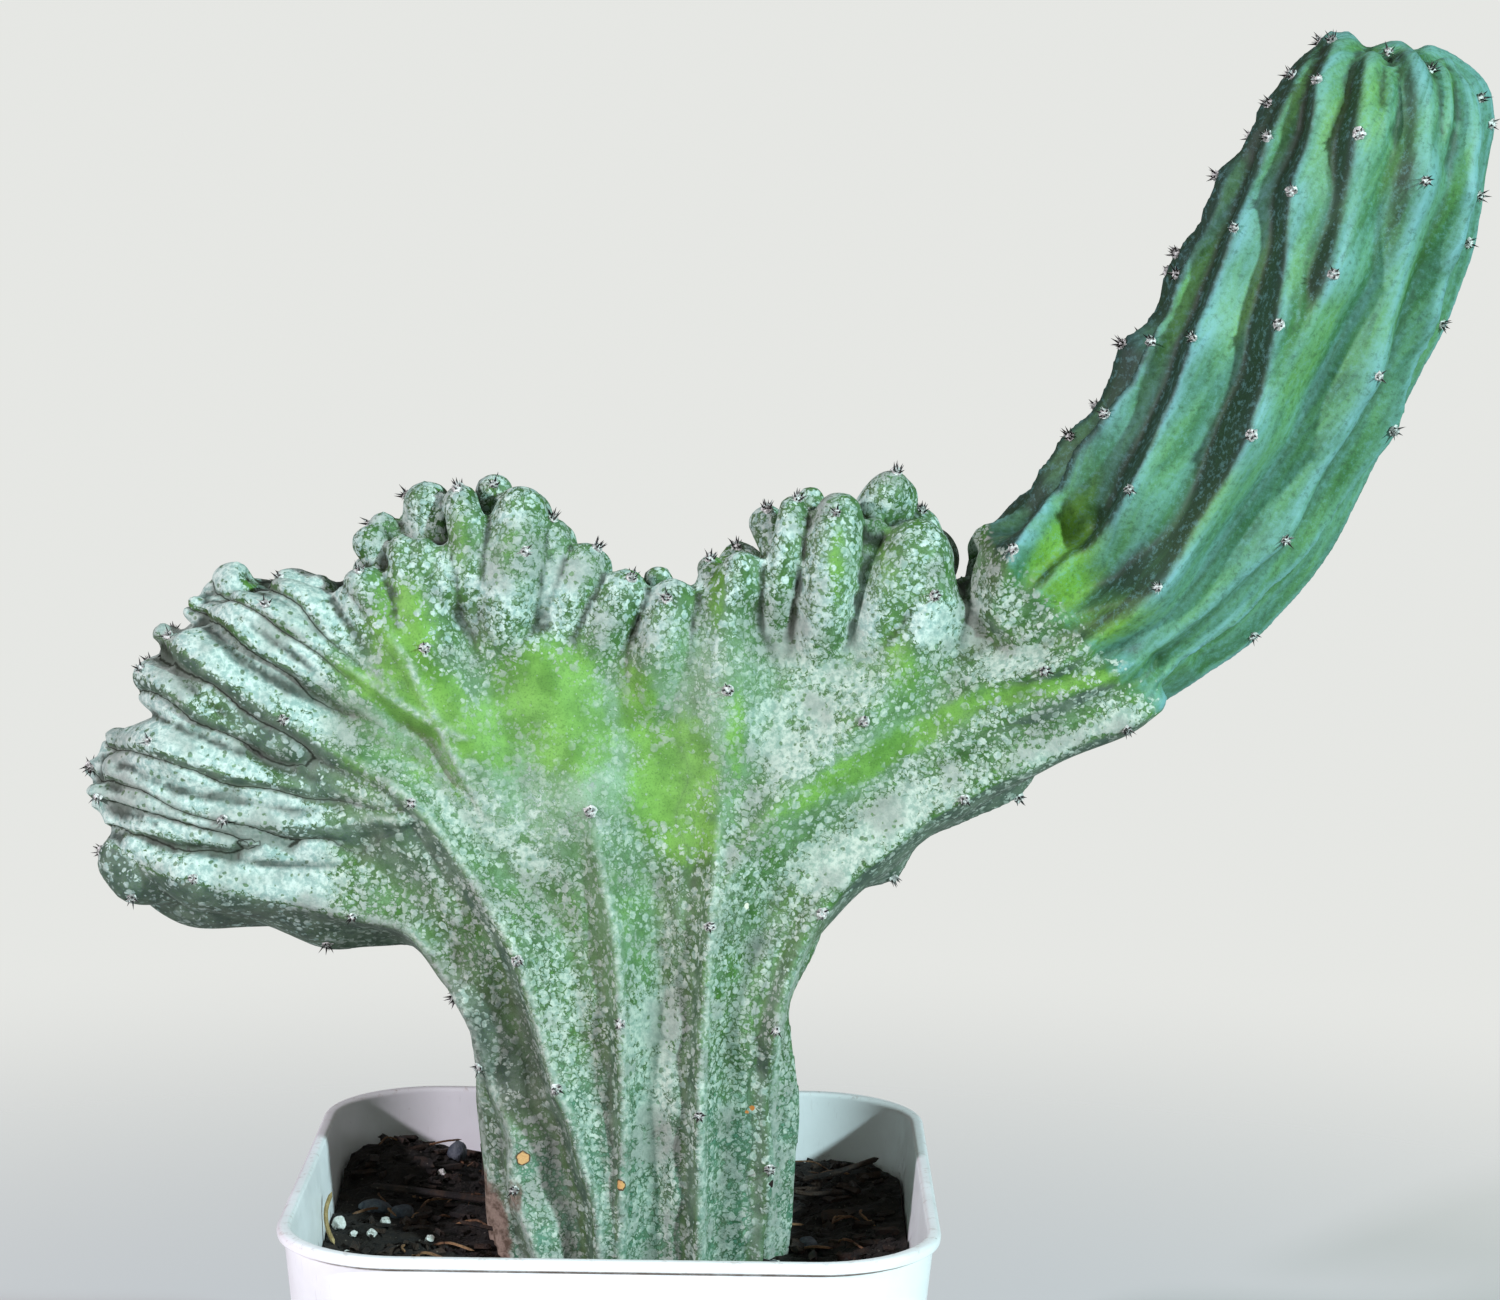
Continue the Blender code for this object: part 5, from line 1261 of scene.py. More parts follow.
specks, specks_in, specks_out = group(
    "round_specks", {"Place": "Vector", "Spacing": "Float", "Share": "Float", "Radius": "Float"},
    {"Mask": "Float"})
specks_cells = add("TexVoronoi", {
    "Vector": specks_in.outputs["Place"],
    "Scale": number("DIVIDE", 1 / MM, specks_in.outputs["Spacing"])})
specks_chance = add("SeparateColor", {"Color": specks_cells.outputs["Color"]})
specks_there = number("LESS_THAN", specks_chance.outputs["Red"], specks_in.outputs["Share"])
specks_radius = times(specks_in.outputs["Radius"], number(
    "MULTIPLY_ADD", specks_chance.outputs["Green"], 0.7, 0.4))
specks_gap = number("SUBTRACT", specks_radius, specks_cells.outputs["Distance"])
specks_soft = times(specks_gap, 12.0, clamp=True)
specks.links.new(times(specks_soft, specks_there), specks_out.inputs["Mask"])


def dots(place, spacing, share, radius):
    """Round specks: mm between their cells, the share that is there, and a radius in cells."""
    made = use(specks, {"Place": place, "Spacing": spacing, "Share": share, "Radius": radius})
    return made.outputs["Mask"]


print("node groups:", [g.name for g in bpy.data.node_groups])

# %% The crust's flakes
skin, skin_tree, skin_shader = new_material("cactus_skin")
place = object_place(skin_tree)
shift = add("TexNoise", {"Vector": place, "Scale": per(1.1), "Detail": 2.0})
bent = add("VectorMath", {0: shift.outputs["Color"], 1: (0.5, 0.5, 0.5)},
           operation="SUBTRACT").outputs[0]
bent = add("VectorMath", {0: bent, "Scale": 1.1 * MM}, operation="SCALE").outputs[0]
bent = add("VectorMath", {0: place, 1: bent}, operation="ADD").outputs[0]

asked = stored(skin_tree, "crust")
clumps = number("SUBTRACT", grain(place, 7.0, 3.0), 0.5)
gate = between(asked, 0.02, 0.2)
cover = number("MULTIPLY_ADD", times(clumps, gate), 1.2, asked)
fine_cover = number("MULTIPLY_ADD", times(gate, number(
    "SUBTRACT", grain(place, 2.2), 0.5)), 0.7, cover)


def flakes(size, cover_here):
    """Flakes of one size: how thick they lie, and how close a crack between them is."""
    middles = cells(bent, size)
    borders = cells(bent, size, "DISTANCE_TO_EDGE")
    chance = add("SeparateColor", {"Color": middles.outputs["Color"]})
    there = number("SUBTRACT", cover_here, chance.outputs["Red"])
    there = number("MULTIPLY_ADD", there, 10.0, 0.0, clamp=True)
    thick = number("MULTIPLY_ADD", chance.outputs["Green"], 0.5, 0.45)
    crack = between(borders.outputs["Distance"], 0.03, 0.16)
    return times(times(there, thick), crack), crack


small, small_crack = flakes(0.9, fine_cover)
large, large_crack = flakes(1.6, number("SUBTRACT", cover, 0.08))
spots = dots(bent, 2.4, 0.8, 0.46)
spots_here = times(spots, between(cover, 0.05, 0.35, 0.0, 0.95))
loose = dots(place, 1.5, 0.5, 0.26)
loose_here = times(loose, between(asked, 0.02, 0.12, 0.0, 0.8))
ragged = number("MULTIPLY_ADD", number("SUBTRACT", cover, 0.72), 0.6, grain(bent, 2.4, 6.0, 0.72))
ragged = between(ragged, 0.49, 0.53, 0.0, 0.9)
holes = dots(bent, 1.9, 0.7, 0.36)
crusted = number("MAXIMUM", number("MAXIMUM", small, large),
                 number("MAXIMUM", spots_here, loose_here))
filmed = stored(skin_tree, "film")
crusted = times(crusted, number("MULTIPLY_ADD", filmed, -0.5, 1.0))
crusted = number("MAXIMUM", crusted, ragged)
crusted = times(crusted, number("MULTIPLY_ADD", holes, -0.8, 1.0))
crown_line = times(stored(skin_tree, "crown_line"), between(
    grain(place, 2.0, 3.0), 0.38, 0.55, 0.2, 0.95))
crusted = number("MAXIMUM", crusted, crown_line)
print("flakes of two sizes, round spots, loose specks and ragged sheets")

# %% [markdown]
# Under the crust the skin's own green changes with age and light: yellow-green where it is bare,
# teal low on the trunk, and on the arm a fresh green with blue bloom on its crowns and lime in its
# folds. Shade is painted in as well: slate on flanks that face down, brownish where a flank of the
# fan faces left, and on the arm a darker green in the valleys and a dark green on flanks that face
# left. Each tone is laid over the last one by the numbers kept on the mesh, with a noise added to
# each so that no border is smooth.

# %% Greens of the skin
FAN_GREENS = (screen(46, 98, 38), screen(78, 134, 58))
BARE_GREENS = (screen(88, 144, 58), screen(118, 180, 84))
FRINGE_GREEN = screen(74, 116, 56)
# Painted shade: slate tones for flanks that face down
SHADED_SLATES = (screen(68, 92, 86), screen(94, 116, 108))
TEALS = (screen(66, 124, 108), screen(92, 146, 132))
# Painted shade: a brownish dark for flanks of the fan that face left
LEFT_SHADE_BROWN = screen(74, 84, 64)
ARM_GREENS = (screen(54, 112, 62), screen(90, 152, 92))
# Painted shade: a darker green for the arm's valleys
ARM_VALLEY_SHADE = screen(46, 96, 48)
ARM_SHADE = screen(22, 44, 30)
ARM_DULL = screen(40, 74, 54)
BLOOM = screen(114, 176, 188)
LIME = screen(104, 166, 62)
HAZE = screen(144, 188, 164)


def tones(where, size, pair):
    """A colour that wanders between the two of a pair, with patches of a size in mm."""
    return use(wander, {
        "Place": where, "Size": size, "First": pair[0], "Second": pair[1]}).outputs["Color"]


def rough_edge(value, wobble, low, high, most=1.0):
    """A mask whose border is broken up by a noise."""
    pushed = number("MULTIPLY_ADD", number("SUBTRACT", wobble, 0.5), 0.8, value)
    return between(pushed, low, high, 0.0, most)


wobble = grain(place, 3.0, 4.0, 0.65)
streak_place = put(skin_tree, "Attribute", attribute_name="streak").outputs["Vector"]
streaks = grain(streak_place, 1.6, 4.0, 0.6)
broad_streaks = grain(streak_place, 5.0, 2.0, 0.5)

tone = tones(place, 9.0, FAN_GREENS)
tone = over(rough_edge(stored(skin_tree, "teal"), wobble, 0.3, 0.9), tone, tones(place, 6.0, TEALS))
# Painted shade: flanks of the fan that face left turn brownish dark
on_left = times(stored(skin_tree, "left"), number(
    "MULTIPLY_ADD", stored(skin_tree, "teal"), 0.4, 0.6))
tone = over(rough_edge(on_left, wobble, 0.1, 0.8, 0.8), tone, LEFT_SHADE_BROWN)
# Painted shade: flanks that face down, where the crust is thin, turn slate
tone = over(rough_edge(stored(skin_tree, "shade"), wobble, 0.35, 1.0),
            tone, tones(place, 5.0, SHADED_SLATES))
tone = over(rough_edge(stored(skin_tree, "fringe"), wobble, 0.3, 0.9, 0.6), tone, FRINGE_GREEN)
haze_amount = times(between(
    grain(place, 5.0, 4.0, 0.6), 0.35, 0.65, 0.0, 0.5), between(asked, 0.05, 0.7))
haze_amount = number("MAXIMUM", haze_amount, times(
    filmed, between(grain(place, 8.0, 4.0), 0.35, 0.65, 0.4, 0.85)))
tone = over(haze_amount, tone, HAZE)
bare_here = rough_edge(stored(skin_tree, "bare"), wobble, 0.2, 0.65, 0.92)
tone = over(bare_here, tone, tones(place, 9.0, BARE_GREENS))
pores = grain(place, 0.45, 2.0, 0.7)
tone = over(between(pores, 0.48, 0.7, 0.0, 0.5), tone, screen(60, 104, 48))
arm_tone = tones(streak_place, 4.0, ARM_GREENS)
bloom_amount = number("MULTIPLY_ADD", stored(skin_tree, "crown"), 0.65, number(
    "MULTIPLY_ADD", broad_streaks, 1.4, -0.45), clamp=True)
bloom_amount = times(bloom_amount, between(streaks, 0.3, 0.62, 0.45))
# Painted shade: the arm's valleys are darkened
arm_tone = over(times(stored(skin_tree, "valley"), 0.9), arm_tone, ARM_VALLEY_SHADE)
arm_tone = over(bloom_amount, arm_tone, BLOOM)
lime_amount = rough_edge(stored(skin_tree, "lime"), streaks, 0.15, 1.0)
arm_tone = over(lime_amount, arm_tone, LIME)
# Painted shade: flanks of the arm that face left turn dark green
arm_tone = over(rough_edge(stored(skin_tree, "left"), streaks, 0.03, 0.8, 0.92),
                arm_tone, ARM_SHADE)
arm_mottle = grain(place, 1.6, 5.0, 0.75)
arm_tone = over(between(arm_mottle, 0.5, 0.66, 0.0, 0.45), arm_tone, ARM_DULL)
arm_tone = over(between(arm_mottle, 0.5, 0.36, 0.0, 0.3), arm_tone, BLOOM)
arm_fleck = dots(place, 2.4, 0.3, 0.09)
arm_tone = over(times(arm_fleck, 0.5), arm_tone, screen(150, 190, 176))
tone = over(rough_edge(stored(skin_tree, "arm"), wobble, 0.3, 0.7), tone, arm_tone)
print("greens laid out")

# %% Crust, cork, and painted shade in creases, valleys and seams, over the greens
CRUST_TONES = (screen(142, 176, 172), screen(194, 218, 216))
PALE_CRUST = (screen(150, 190, 194), screen(208, 238, 242))
CRUST_LILAC = screen(150, 164, 166)
CRACK_DARK = screen(50, 82, 46)
# Painted shade: the tone for creases and seam lines
CREASE_SHADE = screen(34, 44, 34)
# Painted shade: a grey-green for the fan's valleys
FAN_VALLEY_SHADE = screen(84, 92, 74)
# Painted shade: a grey for the band beside each seam
SEAM_SIDE_SHADE = screen(92, 108, 104)
CORK = screen(150, 138, 132)

crust_tone = over(rough_edge(stored(skin_tree, "pale"), wobble, 0.2, 0.9),
                  tones(bent, 1.3, CRUST_TONES), tones(bent, 1.3, PALE_CRUST))
lilac_amount = between(grain(place, 14.0, 2.0), 0.45, 0.65, 0, 0.7)
crust_tone = over(lilac_amount, crust_tone, CRUST_LILAC)
cracks = times(number("SUBTRACT", 1.0, number(
    "MINIMUM", small_crack, large_crack)), between(cover, 0.2, 0.7, 0.0, 0.7))
cracks = times(cracks, number("MULTIPLY_ADD", filmed, -0.9, 1.0))
tone = over(cracks, tone, CRACK_DARK)
tone = over(crusted, tone, crust_tone)
# Painted shade: the fan's valleys are darkened, broken up by a noise
fan_valley_shade_amount = times(stored(skin_tree, "valley"), number("SUBTRACT", 1.0, stored(skin_tree, "arm")))
fan_valley_shade_amount = times(fan_valley_shade_amount, between(wobble, 0.3, 0.7, 0.2, 0.42))
tone = over(fan_valley_shade_amount, tone, FAN_VALLEY_SHADE)
tone = over(rough_edge(stored(skin_tree, "cork"), wobble, 0.3, 0.7),
            tone, tones(place, 2.0, (CORK, screen(96, 84, 76))))
# Painted shade: creases are darkened by how far they are sunk
tone = over(times(stored(skin_tree, "crease"), 0.85), tone, CREASE_SHADE)
# Painted shade: a dark line along each pressed-in seam, and a grey band beside it
seam_gap = number("ABSOLUTE", number("MULTIPLY_ADD", number(
    "SUBTRACT", wobble, 0.5), 1.0, stored(skin_tree, "seam")))
beside_seam = times(stored(skin_tree, "seamed"), between(seam_gap, 0.5, 2.2, 0.7, 0.0))
tone = over(beside_seam, tone, SEAM_SIDE_SHADE)
on_seam = times(stored(skin_tree, "seamed"), between(seam_gap, 0.1, 0.5, 0.95, 0.0))
tone = over(on_seam, tone, CREASE_SHADE)
print("crust and creases laid over them")

# %% [markdown]
# A few single marks make this plant the one in the photo: two round tan scars low on the trunk,
# an orange fleck, a small hole and a white dot. The hole is only a near-black spot, painted shade
# in place of its depth. Each is a ball of colour in space whose middle is found by the same ray
# from the eye, so it sits on the skin wherever the skin is.

# %% Single marks
# Marks: x and z as seen from the eye, radius in mm, colour
MARKS = [
    (-22.4, 22, 1.9, (70, 56, 42)), (-22.4, 22, 1.5, (206, 172, 122)),
    (0.8, 15.7, 1.5, (70, 56, 42)), (0.8, 15.7, 1.15, (212, 174, 118)),
    (32, 35, 0.7, (196, 128, 66)), (30.8, 34, 0.45, (196, 128, 66)),
    # The near-black mark at 37, 16.5 is a small hole drawn only in colour, as painted shade
    (37, 16.5, 1.0, (34, 24, 20)), (30, 84, 0.8, (236, 242, 236)),
]


def on_skin(start, toward):
    """The first point of the skin along a ray, and which way the skin faces there."""
    spot, facing, _, _ = body_tree.ray_cast(start, toward)
    return spot, facing


# Both lights are a little blue, so the skin itself is a little warmer than it looks
SKIN_BALANCE = (1.0, 0.9, 0.76, 1.0)

EYE_IN_SCENE = in_scene(EYE)
for x, z, radius, colour in MARKS:
    middle, _ = on_skin(EYE_IN_SCENE, in_scene((x, 0, z)) - EYE_IN_SCENE)
    gap = add("VectorMath", {0: bent, 1: middle}, operation="DISTANCE").outputs["Value"]
    marked = between(gap, radius * 0.8 * MM, radius * MM, 1.0, 0.0)
    tone = over(marked, tone, screen(*colour))
tone = add("Mix", {0: 1.0, 6: tone, 7: SKIN_BALANCE}, data_type="RGBA",
           blend_type="MULTIPLY").outputs[2]
skin_tree.links.new(tone, skin_shader.inputs["Base Color"])

relief = number("MULTIPLY_ADD", pores, 0.35, times(crusted, grain(place, 0.7, 1.0)))
bump = add("Bump", {"Height": relief, "Strength": 0.5, "Distance": 0.35 * MM})
skin_tree.links.new(bump.outputs[0], skin_shader.inputs["Normal"])
skin_tree.links.new(between(crusted, 0, 1, 0.56, 0.85), skin_shader.inputs["Roughness"])
skin_shader.inputs["Specular IOR Level"].default_value = 0.28
body.data.materials.clear()
body.data.materials.append(skin)
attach(body, "root")
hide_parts("cactus")
print("skin nodes:", len(skin_tree.nodes))

# %% [markdown]
# ## Areoles
#
# An areole is the felt cushion of a cactus: a round pad of white wool about 3 mm across, from
# which a few short dark spines grow. Hair strands would be lost in other programs, so each pad
# is a small sphere roughened by a noise, with a ring of thin fibres, and each spine is a thin
# cone. A ray from the eye through each place of the layout finds the skin and which way it
# faces, so every pad sits square on its ridge. The back gets its own pads in the same way.

# %% Find where the areoles sit
BACK_FACING = 0.25
areole_spots = []
for x, z in AREOLES:
    seen = in_scene((x, 0, z))
    spot, facing = on_skin(EYE_IN_SCENE, seen - EYE_IN_SCENE)
    if spot is None:
        spot, facing, _, _ = body_tree.find_nearest(seen)
    areole_spots.append((spot, facing))
    behind_it, facing = on_skin(Vector((spot.x, -EYE_IN_SCENE.y, spot.z)), Vector((0, -1, 0)))
    if behind_it is not None and facing.y > BACK_FACING:
        areole_spots.append((behind_it, facing))
print("areoles in front and behind:", len(areole_spots))

# %% Wool and spines
WOOL_RADIUS = 1.25
WOOL_GROWN = (0.8, 1.15)
WOOL_FLATNESS = 0.62
WOOL_LUMPS = 0.7
WOOL_ROUGHNESS = 0.55
FIBRES = 22
FIBRE_LENGTH = (0.5, 1.0)
FIBRE_THICKNESS = 0.09
FIBRE_SPLAY, FIBRE_ROOT = (0.3, 1.5), 0.8
SPINES = (3, 6)
SPINE_LENGTH = (1.6, 2.4)
SPINE_THICKNESS = 0.3
SPINE_START, SPINE_LIFT = 0.7, 0.6
SPINE_UNEVEN = 0.3
SPINE_SPLAY = (0.1, 0.8)
CONE_SIDES = 4

chance = random.Random(SEED)


def splayed(turn, tilt):
    """A direction tilted away from straight up, turned round it."""
    return Vector((math.sin(tilt) * math.cos(turn), math.sin(tilt) * math.sin(turn), math.cos(tilt)))


def add_thorn(bm, start, direction, length, thickness, sides):
    """A thin cone that stands on a point."""
    upright = direction.to_track_quat("Z", "Y").to_matrix().to_4x4()
    bmesh.ops.create_cone(
        bm, cap_ends=False, segments=sides, radius1=thickness, radius2=0.0, depth=length,
        matrix=Matrix.Translation(start + direction * length / 2) @ upright)


def roughen(bm, size, amount):
    """Push the points of a shape in and out by a noise with lumps of a size in mm."""
    offset = Vector((chance.uniform(0, 90), chance.uniform(0, 90), chance.uniform(0, 90)))
    for vert in bm.verts:
        vert.co += noise.noise_vector((vert.co + offset) / size) * amount


def place_on_skin(bm, spot, facing):
    """Stand a shape, made in mm round its own origin, on a spot of the skin."""
    upright = facing.to_track_quat("Z", "Y").to_matrix().to_4x4()
    bmesh.ops.transform(
        bm, verts=bm.verts, matrix=Matrix.Translation(spot) @ upright @ Matrix.Scale(MM, 4))


wool_bm, spines_bm = bmesh.new(), bmesh.new()
for spot, facing in areole_spots:
    grown = chance.uniform(*WOOL_GROWN)
    pad = bmesh.new()
    bmesh.ops.create_icosphere(pad, subdivisions=2, radius=WOOL_RADIUS * grown)
    bmesh.ops.scale(pad, vec=(1, 1, WOOL_FLATNESS), verts=pad.verts)
    roughen(pad, WOOL_LUMPS, WOOL_ROUGHNESS)
    for _ in range(FIBRES):
        out = splayed(chance.uniform(0, math.tau), chance.uniform(*FIBRE_SPLAY))
        add_thorn(pad, out * WOOL_RADIUS * FIBRE_ROOT, out, chance.uniform(*FIBRE_LENGTH),
                  FIBRE_THICKNESS, 3)
    place_on_skin(pad, spot, facing)
    pour(pad, wool_bm)
    thorns = bmesh.new()
    count = chance.randint(*SPINES)
    first_turn = chance.uniform(0, math.tau)
    for k in range(count):
        turn = first_turn + k * math.tau / count + chance.uniform(-SPINE_UNEVEN, SPINE_UNEVEN)
        out = splayed(turn, chance.uniform(*SPINE_SPLAY))
        start = Vector((math.cos(turn), math.sin(turn), SPINE_LIFT)) * SPINE_START
        add_thorn(thorns, start, out, chance.uniform(*SPINE_LENGTH), SPINE_THICKNESS, CONE_SIDES)
    place_on_skin(thorns, spot, facing)
    pour(thorns, spines_bm)
wool = new_piece("areole_wool", wool_bm)
spines = new_piece("areole_spines", spines_bm)

wool_paint, wool_tree, wool_shader = new_material("white_wool")
wool_place = object_place(wool_tree)
wool_tone = tones(wool_place, 0.9, (screen(120, 122, 116), screen(232, 234, 226)))
wool_tree.links.new(wool_tone, wool_shader.inputs["Base Color"])
wool_bump = add("Bump", {
    "Height": grain(wool_place, 0.25, 2.0), "Strength": 0.8, "Distance": 0.2 * MM})
wool_tree.links.new(wool_bump.outputs[0], wool_shader.inputs["Normal"])
wool_shader.inputs["Roughness"].default_value = 0.95

spine_paint, spine_tree, spine_shader = new_material("dark_spines")
spine_place = object_place(spine_tree)
spine_tone = tones(spine_place, 0.8, (screen(16, 13, 13), screen(44, 36, 32)))
spine_tree.links.new(spine_tone, spine_shader.inputs["Base Color"])
spine_tree.links.new(between(grain(spine_place, 0.5), 0.3, 0.7, 0.45, 0.7),
                     spine_shader.inputs["Roughness"])
for piece, paint in ((wool, wool_paint), (spines, spine_paint)):
    piece.data.materials.append(paint)
    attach(piece, "root")
    print(piece.name, "has", len(piece.data.polygons), "faces")

# %% [markdown]
# ## The soil
#
# The potting mix is dark peat with bark chips, root fibres, a little perlite and a few stones,
# heaped a little in the back corners. One bumpy surface alone would look like tar, so the bed
# only carries the loose pieces: crumbs, chips, grains and fibres, each a small closed shape
# dropped onto the bed by a ray from above. All of it keeps clear of the stem.

# %% The bed of soil
POT_WIDTH, POT_HEIGHT, POT_BASE_WIDTH, POT_WALL = 150.0, 125.0, 124.0, 1.8
RIM_CORNER, RIM_REACH, RIM_DEPTH = 28.0, 1.3, 2.6
FLOOR_THICKNESS = 2.4
SEAT_GAP = 0.4
BED_GRID = 110
SWELL, SWELL_SIZE = 2.5, 33.0
LUMPS, LUMP_SIZE = 1.5, 5.0
CRUMBS, CRUMB_SIZE = 0.6, 1.6
# Heaps of the bed: x, y, height and half width, in mm
HEAPS = [(-58, 54, 9, 22), (60, 50, 5, 24), (-60, 5, 1.5, 20), (62, -6, 1.5, 18), (44, -10, -2.5, 12)]


def wall_outside(height):
    """The half width of the pot's outer wall at a height."""
    return lerp(POT_BASE_WIDTH / 2, POT_WIDTH / 2 - RIM_REACH, height / POT_HEIGHT)


def wall_inside(height):
    """The half width of the pot's inner wall at a height."""
    return wall_outside(height) - POT_WALL


def soil_height(x, y):
    """The top of the bed: the heaps, a slow swell, lumps and crumbs."""
    place = Vector((x, y, 0))
    height = SOIL_LEVEL + noise.noise(place / SWELL_SIZE) * SWELL
    height += noise.noise(place / LUMP_SIZE) * LUMPS + noise.noise(place / CRUMB_SIZE) * CRUMBS
    for heap_x, heap_y, rise, half_width in HEAPS:
        away = math.hypot(x - heap_x, y - heap_y) / half_width
        height += rise * math.exp(-away * away)
    return height


def to_rounded_square(u, v, half_width):
    """A point of the square from -1 to 1 laid inside a square with round corners."""
    edge = max(abs(u), abs(v), 1e-6)
    x, y = u / edge * half_width, v / edge * half_width
    corner = half_width * RIM_CORNER / (POT_WIDTH / 2)
    flat = half_width - corner
    if abs(x) > flat and abs(y) > flat:
        middle = Vector((math.copysign(flat, x), math.copysign(flat, y)))
        x, y = middle + (Vector((x, y)) - middle).normalized() * corner
    return x * edge, y * edge


bed_bm = bmesh.new()
bmesh.ops.create_grid(bed_bm, x_segments=BED_GRID, y_segments=BED_GRID, size=1)
raised = bmesh.ops.extrude_face_region(bed_bm, geom=bed_bm.faces[:])["geom"]
top = {part for part in raised if isinstance(part, bmesh.types.BMVert)}
for vert in bed_bm.verts:
    level = SOIL_LEVEL if vert in top else FLOOR_THICKNESS + SEAT_GAP
    x, y = to_rounded_square(vert.co.x, vert.co.y, wall_inside(level) - SEAT_GAP)
    vert.co = (x, y, soil_height(x, y) if vert in top else level)
bmesh.ops.scale(bed_bm, vec=(MM, MM, MM), verts=bed_bm.verts)
bmesh.ops.recalc_face_normals(bed_bm, faces=bed_bm.faces)
underside = [face for face in bed_bm.faces if face.normal.z < -0.9]
bmesh.ops.dissolve_faces(bed_bm, faces=underside)
bed = new_piece("soil_bed", bed_bm)
bed_tree = BVHTree.FromObject(bed, bpy.context.evaluated_depsgraph_get())
print("the bed has", len(bed.data.polygons), "faces")

# %% [markdown]
# A place for a loose piece is found by a ray straight down: it has to meet the bed, not the
# plant, with some room beside the stem. The few pieces that stand out in the photo, such as the
# perlite at the front left and the upright twig, are laid where they show.

# %% Loose chips, crumbs and grains
CLEAR_OF_STEM = 1.2
EDGE_MARGIN = 3.0


def bed_point(x, y):
    """The bed's surface below a place given in mm, as a point in mm."""
    spot, _, _, _ = bed_tree.ray_cast(Vector((x * MM, y * MM, 0.2)), Vector((0, 0, -1)))
    return spot / MM if spot else None


def free_place():
    """A random point on the bed that isn't under the stem."""
    reach = wall_inside(SOIL_LEVEL) - EDGE_MARGIN
    while True:
        x, y = to_rounded_square(chance.uniform(-1, 1), chance.uniform(-1, 1), reach)
        point = bed_point(x, y)
        if point is None:
            continue
        near, facing, _, away = body_tree.find_nearest(point * MM)
        if away / MM > CLEAR_OF_STEM and (point * MM - near).dot(facing) > 0:
            return point


def random_turn(flat):
    """A random turn, mostly about the vertical when flat is 1."""
    lean = (1 - flat) * math.pi + 0.35
    turn = Matrix.Rotation(chance.uniform(0, math.tau), 4, "Z")
    return turn @ Matrix.Rotation(chance.uniform(-lean, lean), 4, "X")


def add_lump(bm, point, size, fineness, rough, flat=0.0):
    """A rough rounded grain of a length, width and height."""
    grain_bm = bmesh.new()
    bmesh.ops.create_icosphere(grain_bm, subdivisions=fineness, radius=0.5)
    roughen(grain_bm, 0.45, rough)
    bmesh.ops.scale(grain_bm, vec=size, verts=grain_bm.verts)
    bmesh.ops.transform(grain_bm, matrix=Matrix.Translation(point) @ random_turn(flat),
                        verts=grain_bm.verts)
    pour(grain_bm, bm)


def add_chip(bm, point, size):
    """A flat splinter of bark with rough broken edges."""
    chip = bmesh.new()
    bmesh.ops.create_cube(chip, size=1)
    bmesh.ops.subdivide_edges(chip, edges=chip.edges, cuts=1, use_grid_fill=True)
    roughen(chip, 0.5, 0.3)
    bmesh.ops.scale(chip, vec=size, verts=chip.verts)
    bmesh.ops.transform(chip, matrix=Matrix.Translation(point) @ random_turn(0.8), verts=chip.verts)
    pour(chip, bm)


def add_strand(bm, points, radius, sides=5):
    """A thin round strand through some points, which tapers at both ends."""
    path = smooth_path([Vector(p) for p in points], 1.2)
    travelled = lengths(path)
    acrosses, outs = [], []
    for i in range(len(path)):
        along = heading(path, i)
        side = along.orthogonal().normalized()
        thickness = radius * end_rounding(travelled[i], travelled[-1], 1.5)
        acrosses.append(side * thickness)
        outs.append(along.cross(side) * thickness)
    add_swept(bm, path, acrosses, outs, [2.0] * len(path), sides)


def loose_piece(name, bm, paint):
    """Turn loose shapes in mm into one piece of the soil."""
    bmesh.ops.scale(bm, vec=(MM, MM, MM), verts=bm.verts)
    piece = new_piece(name, bm)
    piece.data.materials.append(paint)
    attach(piece, "root")
    print(name, "has", len(piece.data.polygons), "faces")
    return piece


def mixed_paint(name, size, first, second, roughness, bump_size):
    """A rough material whose colour wanders between two tones, with pale dust on it."""
    paint, tree, shader = new_material(name)
    place = object_place(tree)
    tone = tones(place, size, (first, second))
    dust = dots(place, 1.2, 0.25, 0.25)
    tone = over(times(dust, 0.5), tone, screen(120, 112, 100))
    tree.links.new(tone, shader.inputs["Base Color"])
    bump = add("Bump", {
        "Height": grain(place, bump_size, 3.0), "Strength": 0.9, "Distance": 0.5 * MM})
    tree.links.new(bump.outputs[0], shader.inputs["Normal"])
    tree.links.new(between(grain(place, 2.0), 0.3, 0.7, roughness - 0.1, roughness),
                   shader.inputs["Roughness"])
    return paint


peat_paint = mixed_paint("peat", 3.0, screen(14, 11, 8), screen(34, 27, 20), 0.97, 0.6)
bark_paint = mixed_paint("bark", 4.0, screen(20, 14, 10), screen(56, 40, 28), 0.9, 0.5)
fibre_paint = mixed_paint("root_fibre", 5.0, screen(92, 62, 40), screen(140, 104, 70), 0.85, 0.4)
perlite_paint = mixed_paint("perlite", 1.0, screen(214, 214, 204), screen(242, 242, 236), 0.95, 0.4)
stone_paint = mixed_paint("stone", 3.0, screen(58, 66, 76), screen(92, 98, 104), 0.8, 0.5)
straw_paint = mixed_paint("straw", 3.0, screen(150, 126, 80), screen(186, 162, 112), 0.8, 0.5)

CRUMB_COUNT = 1100
CHIP_COUNT = 380
FIBRE_COUNT = 110
PERLITE_COUNT = 9
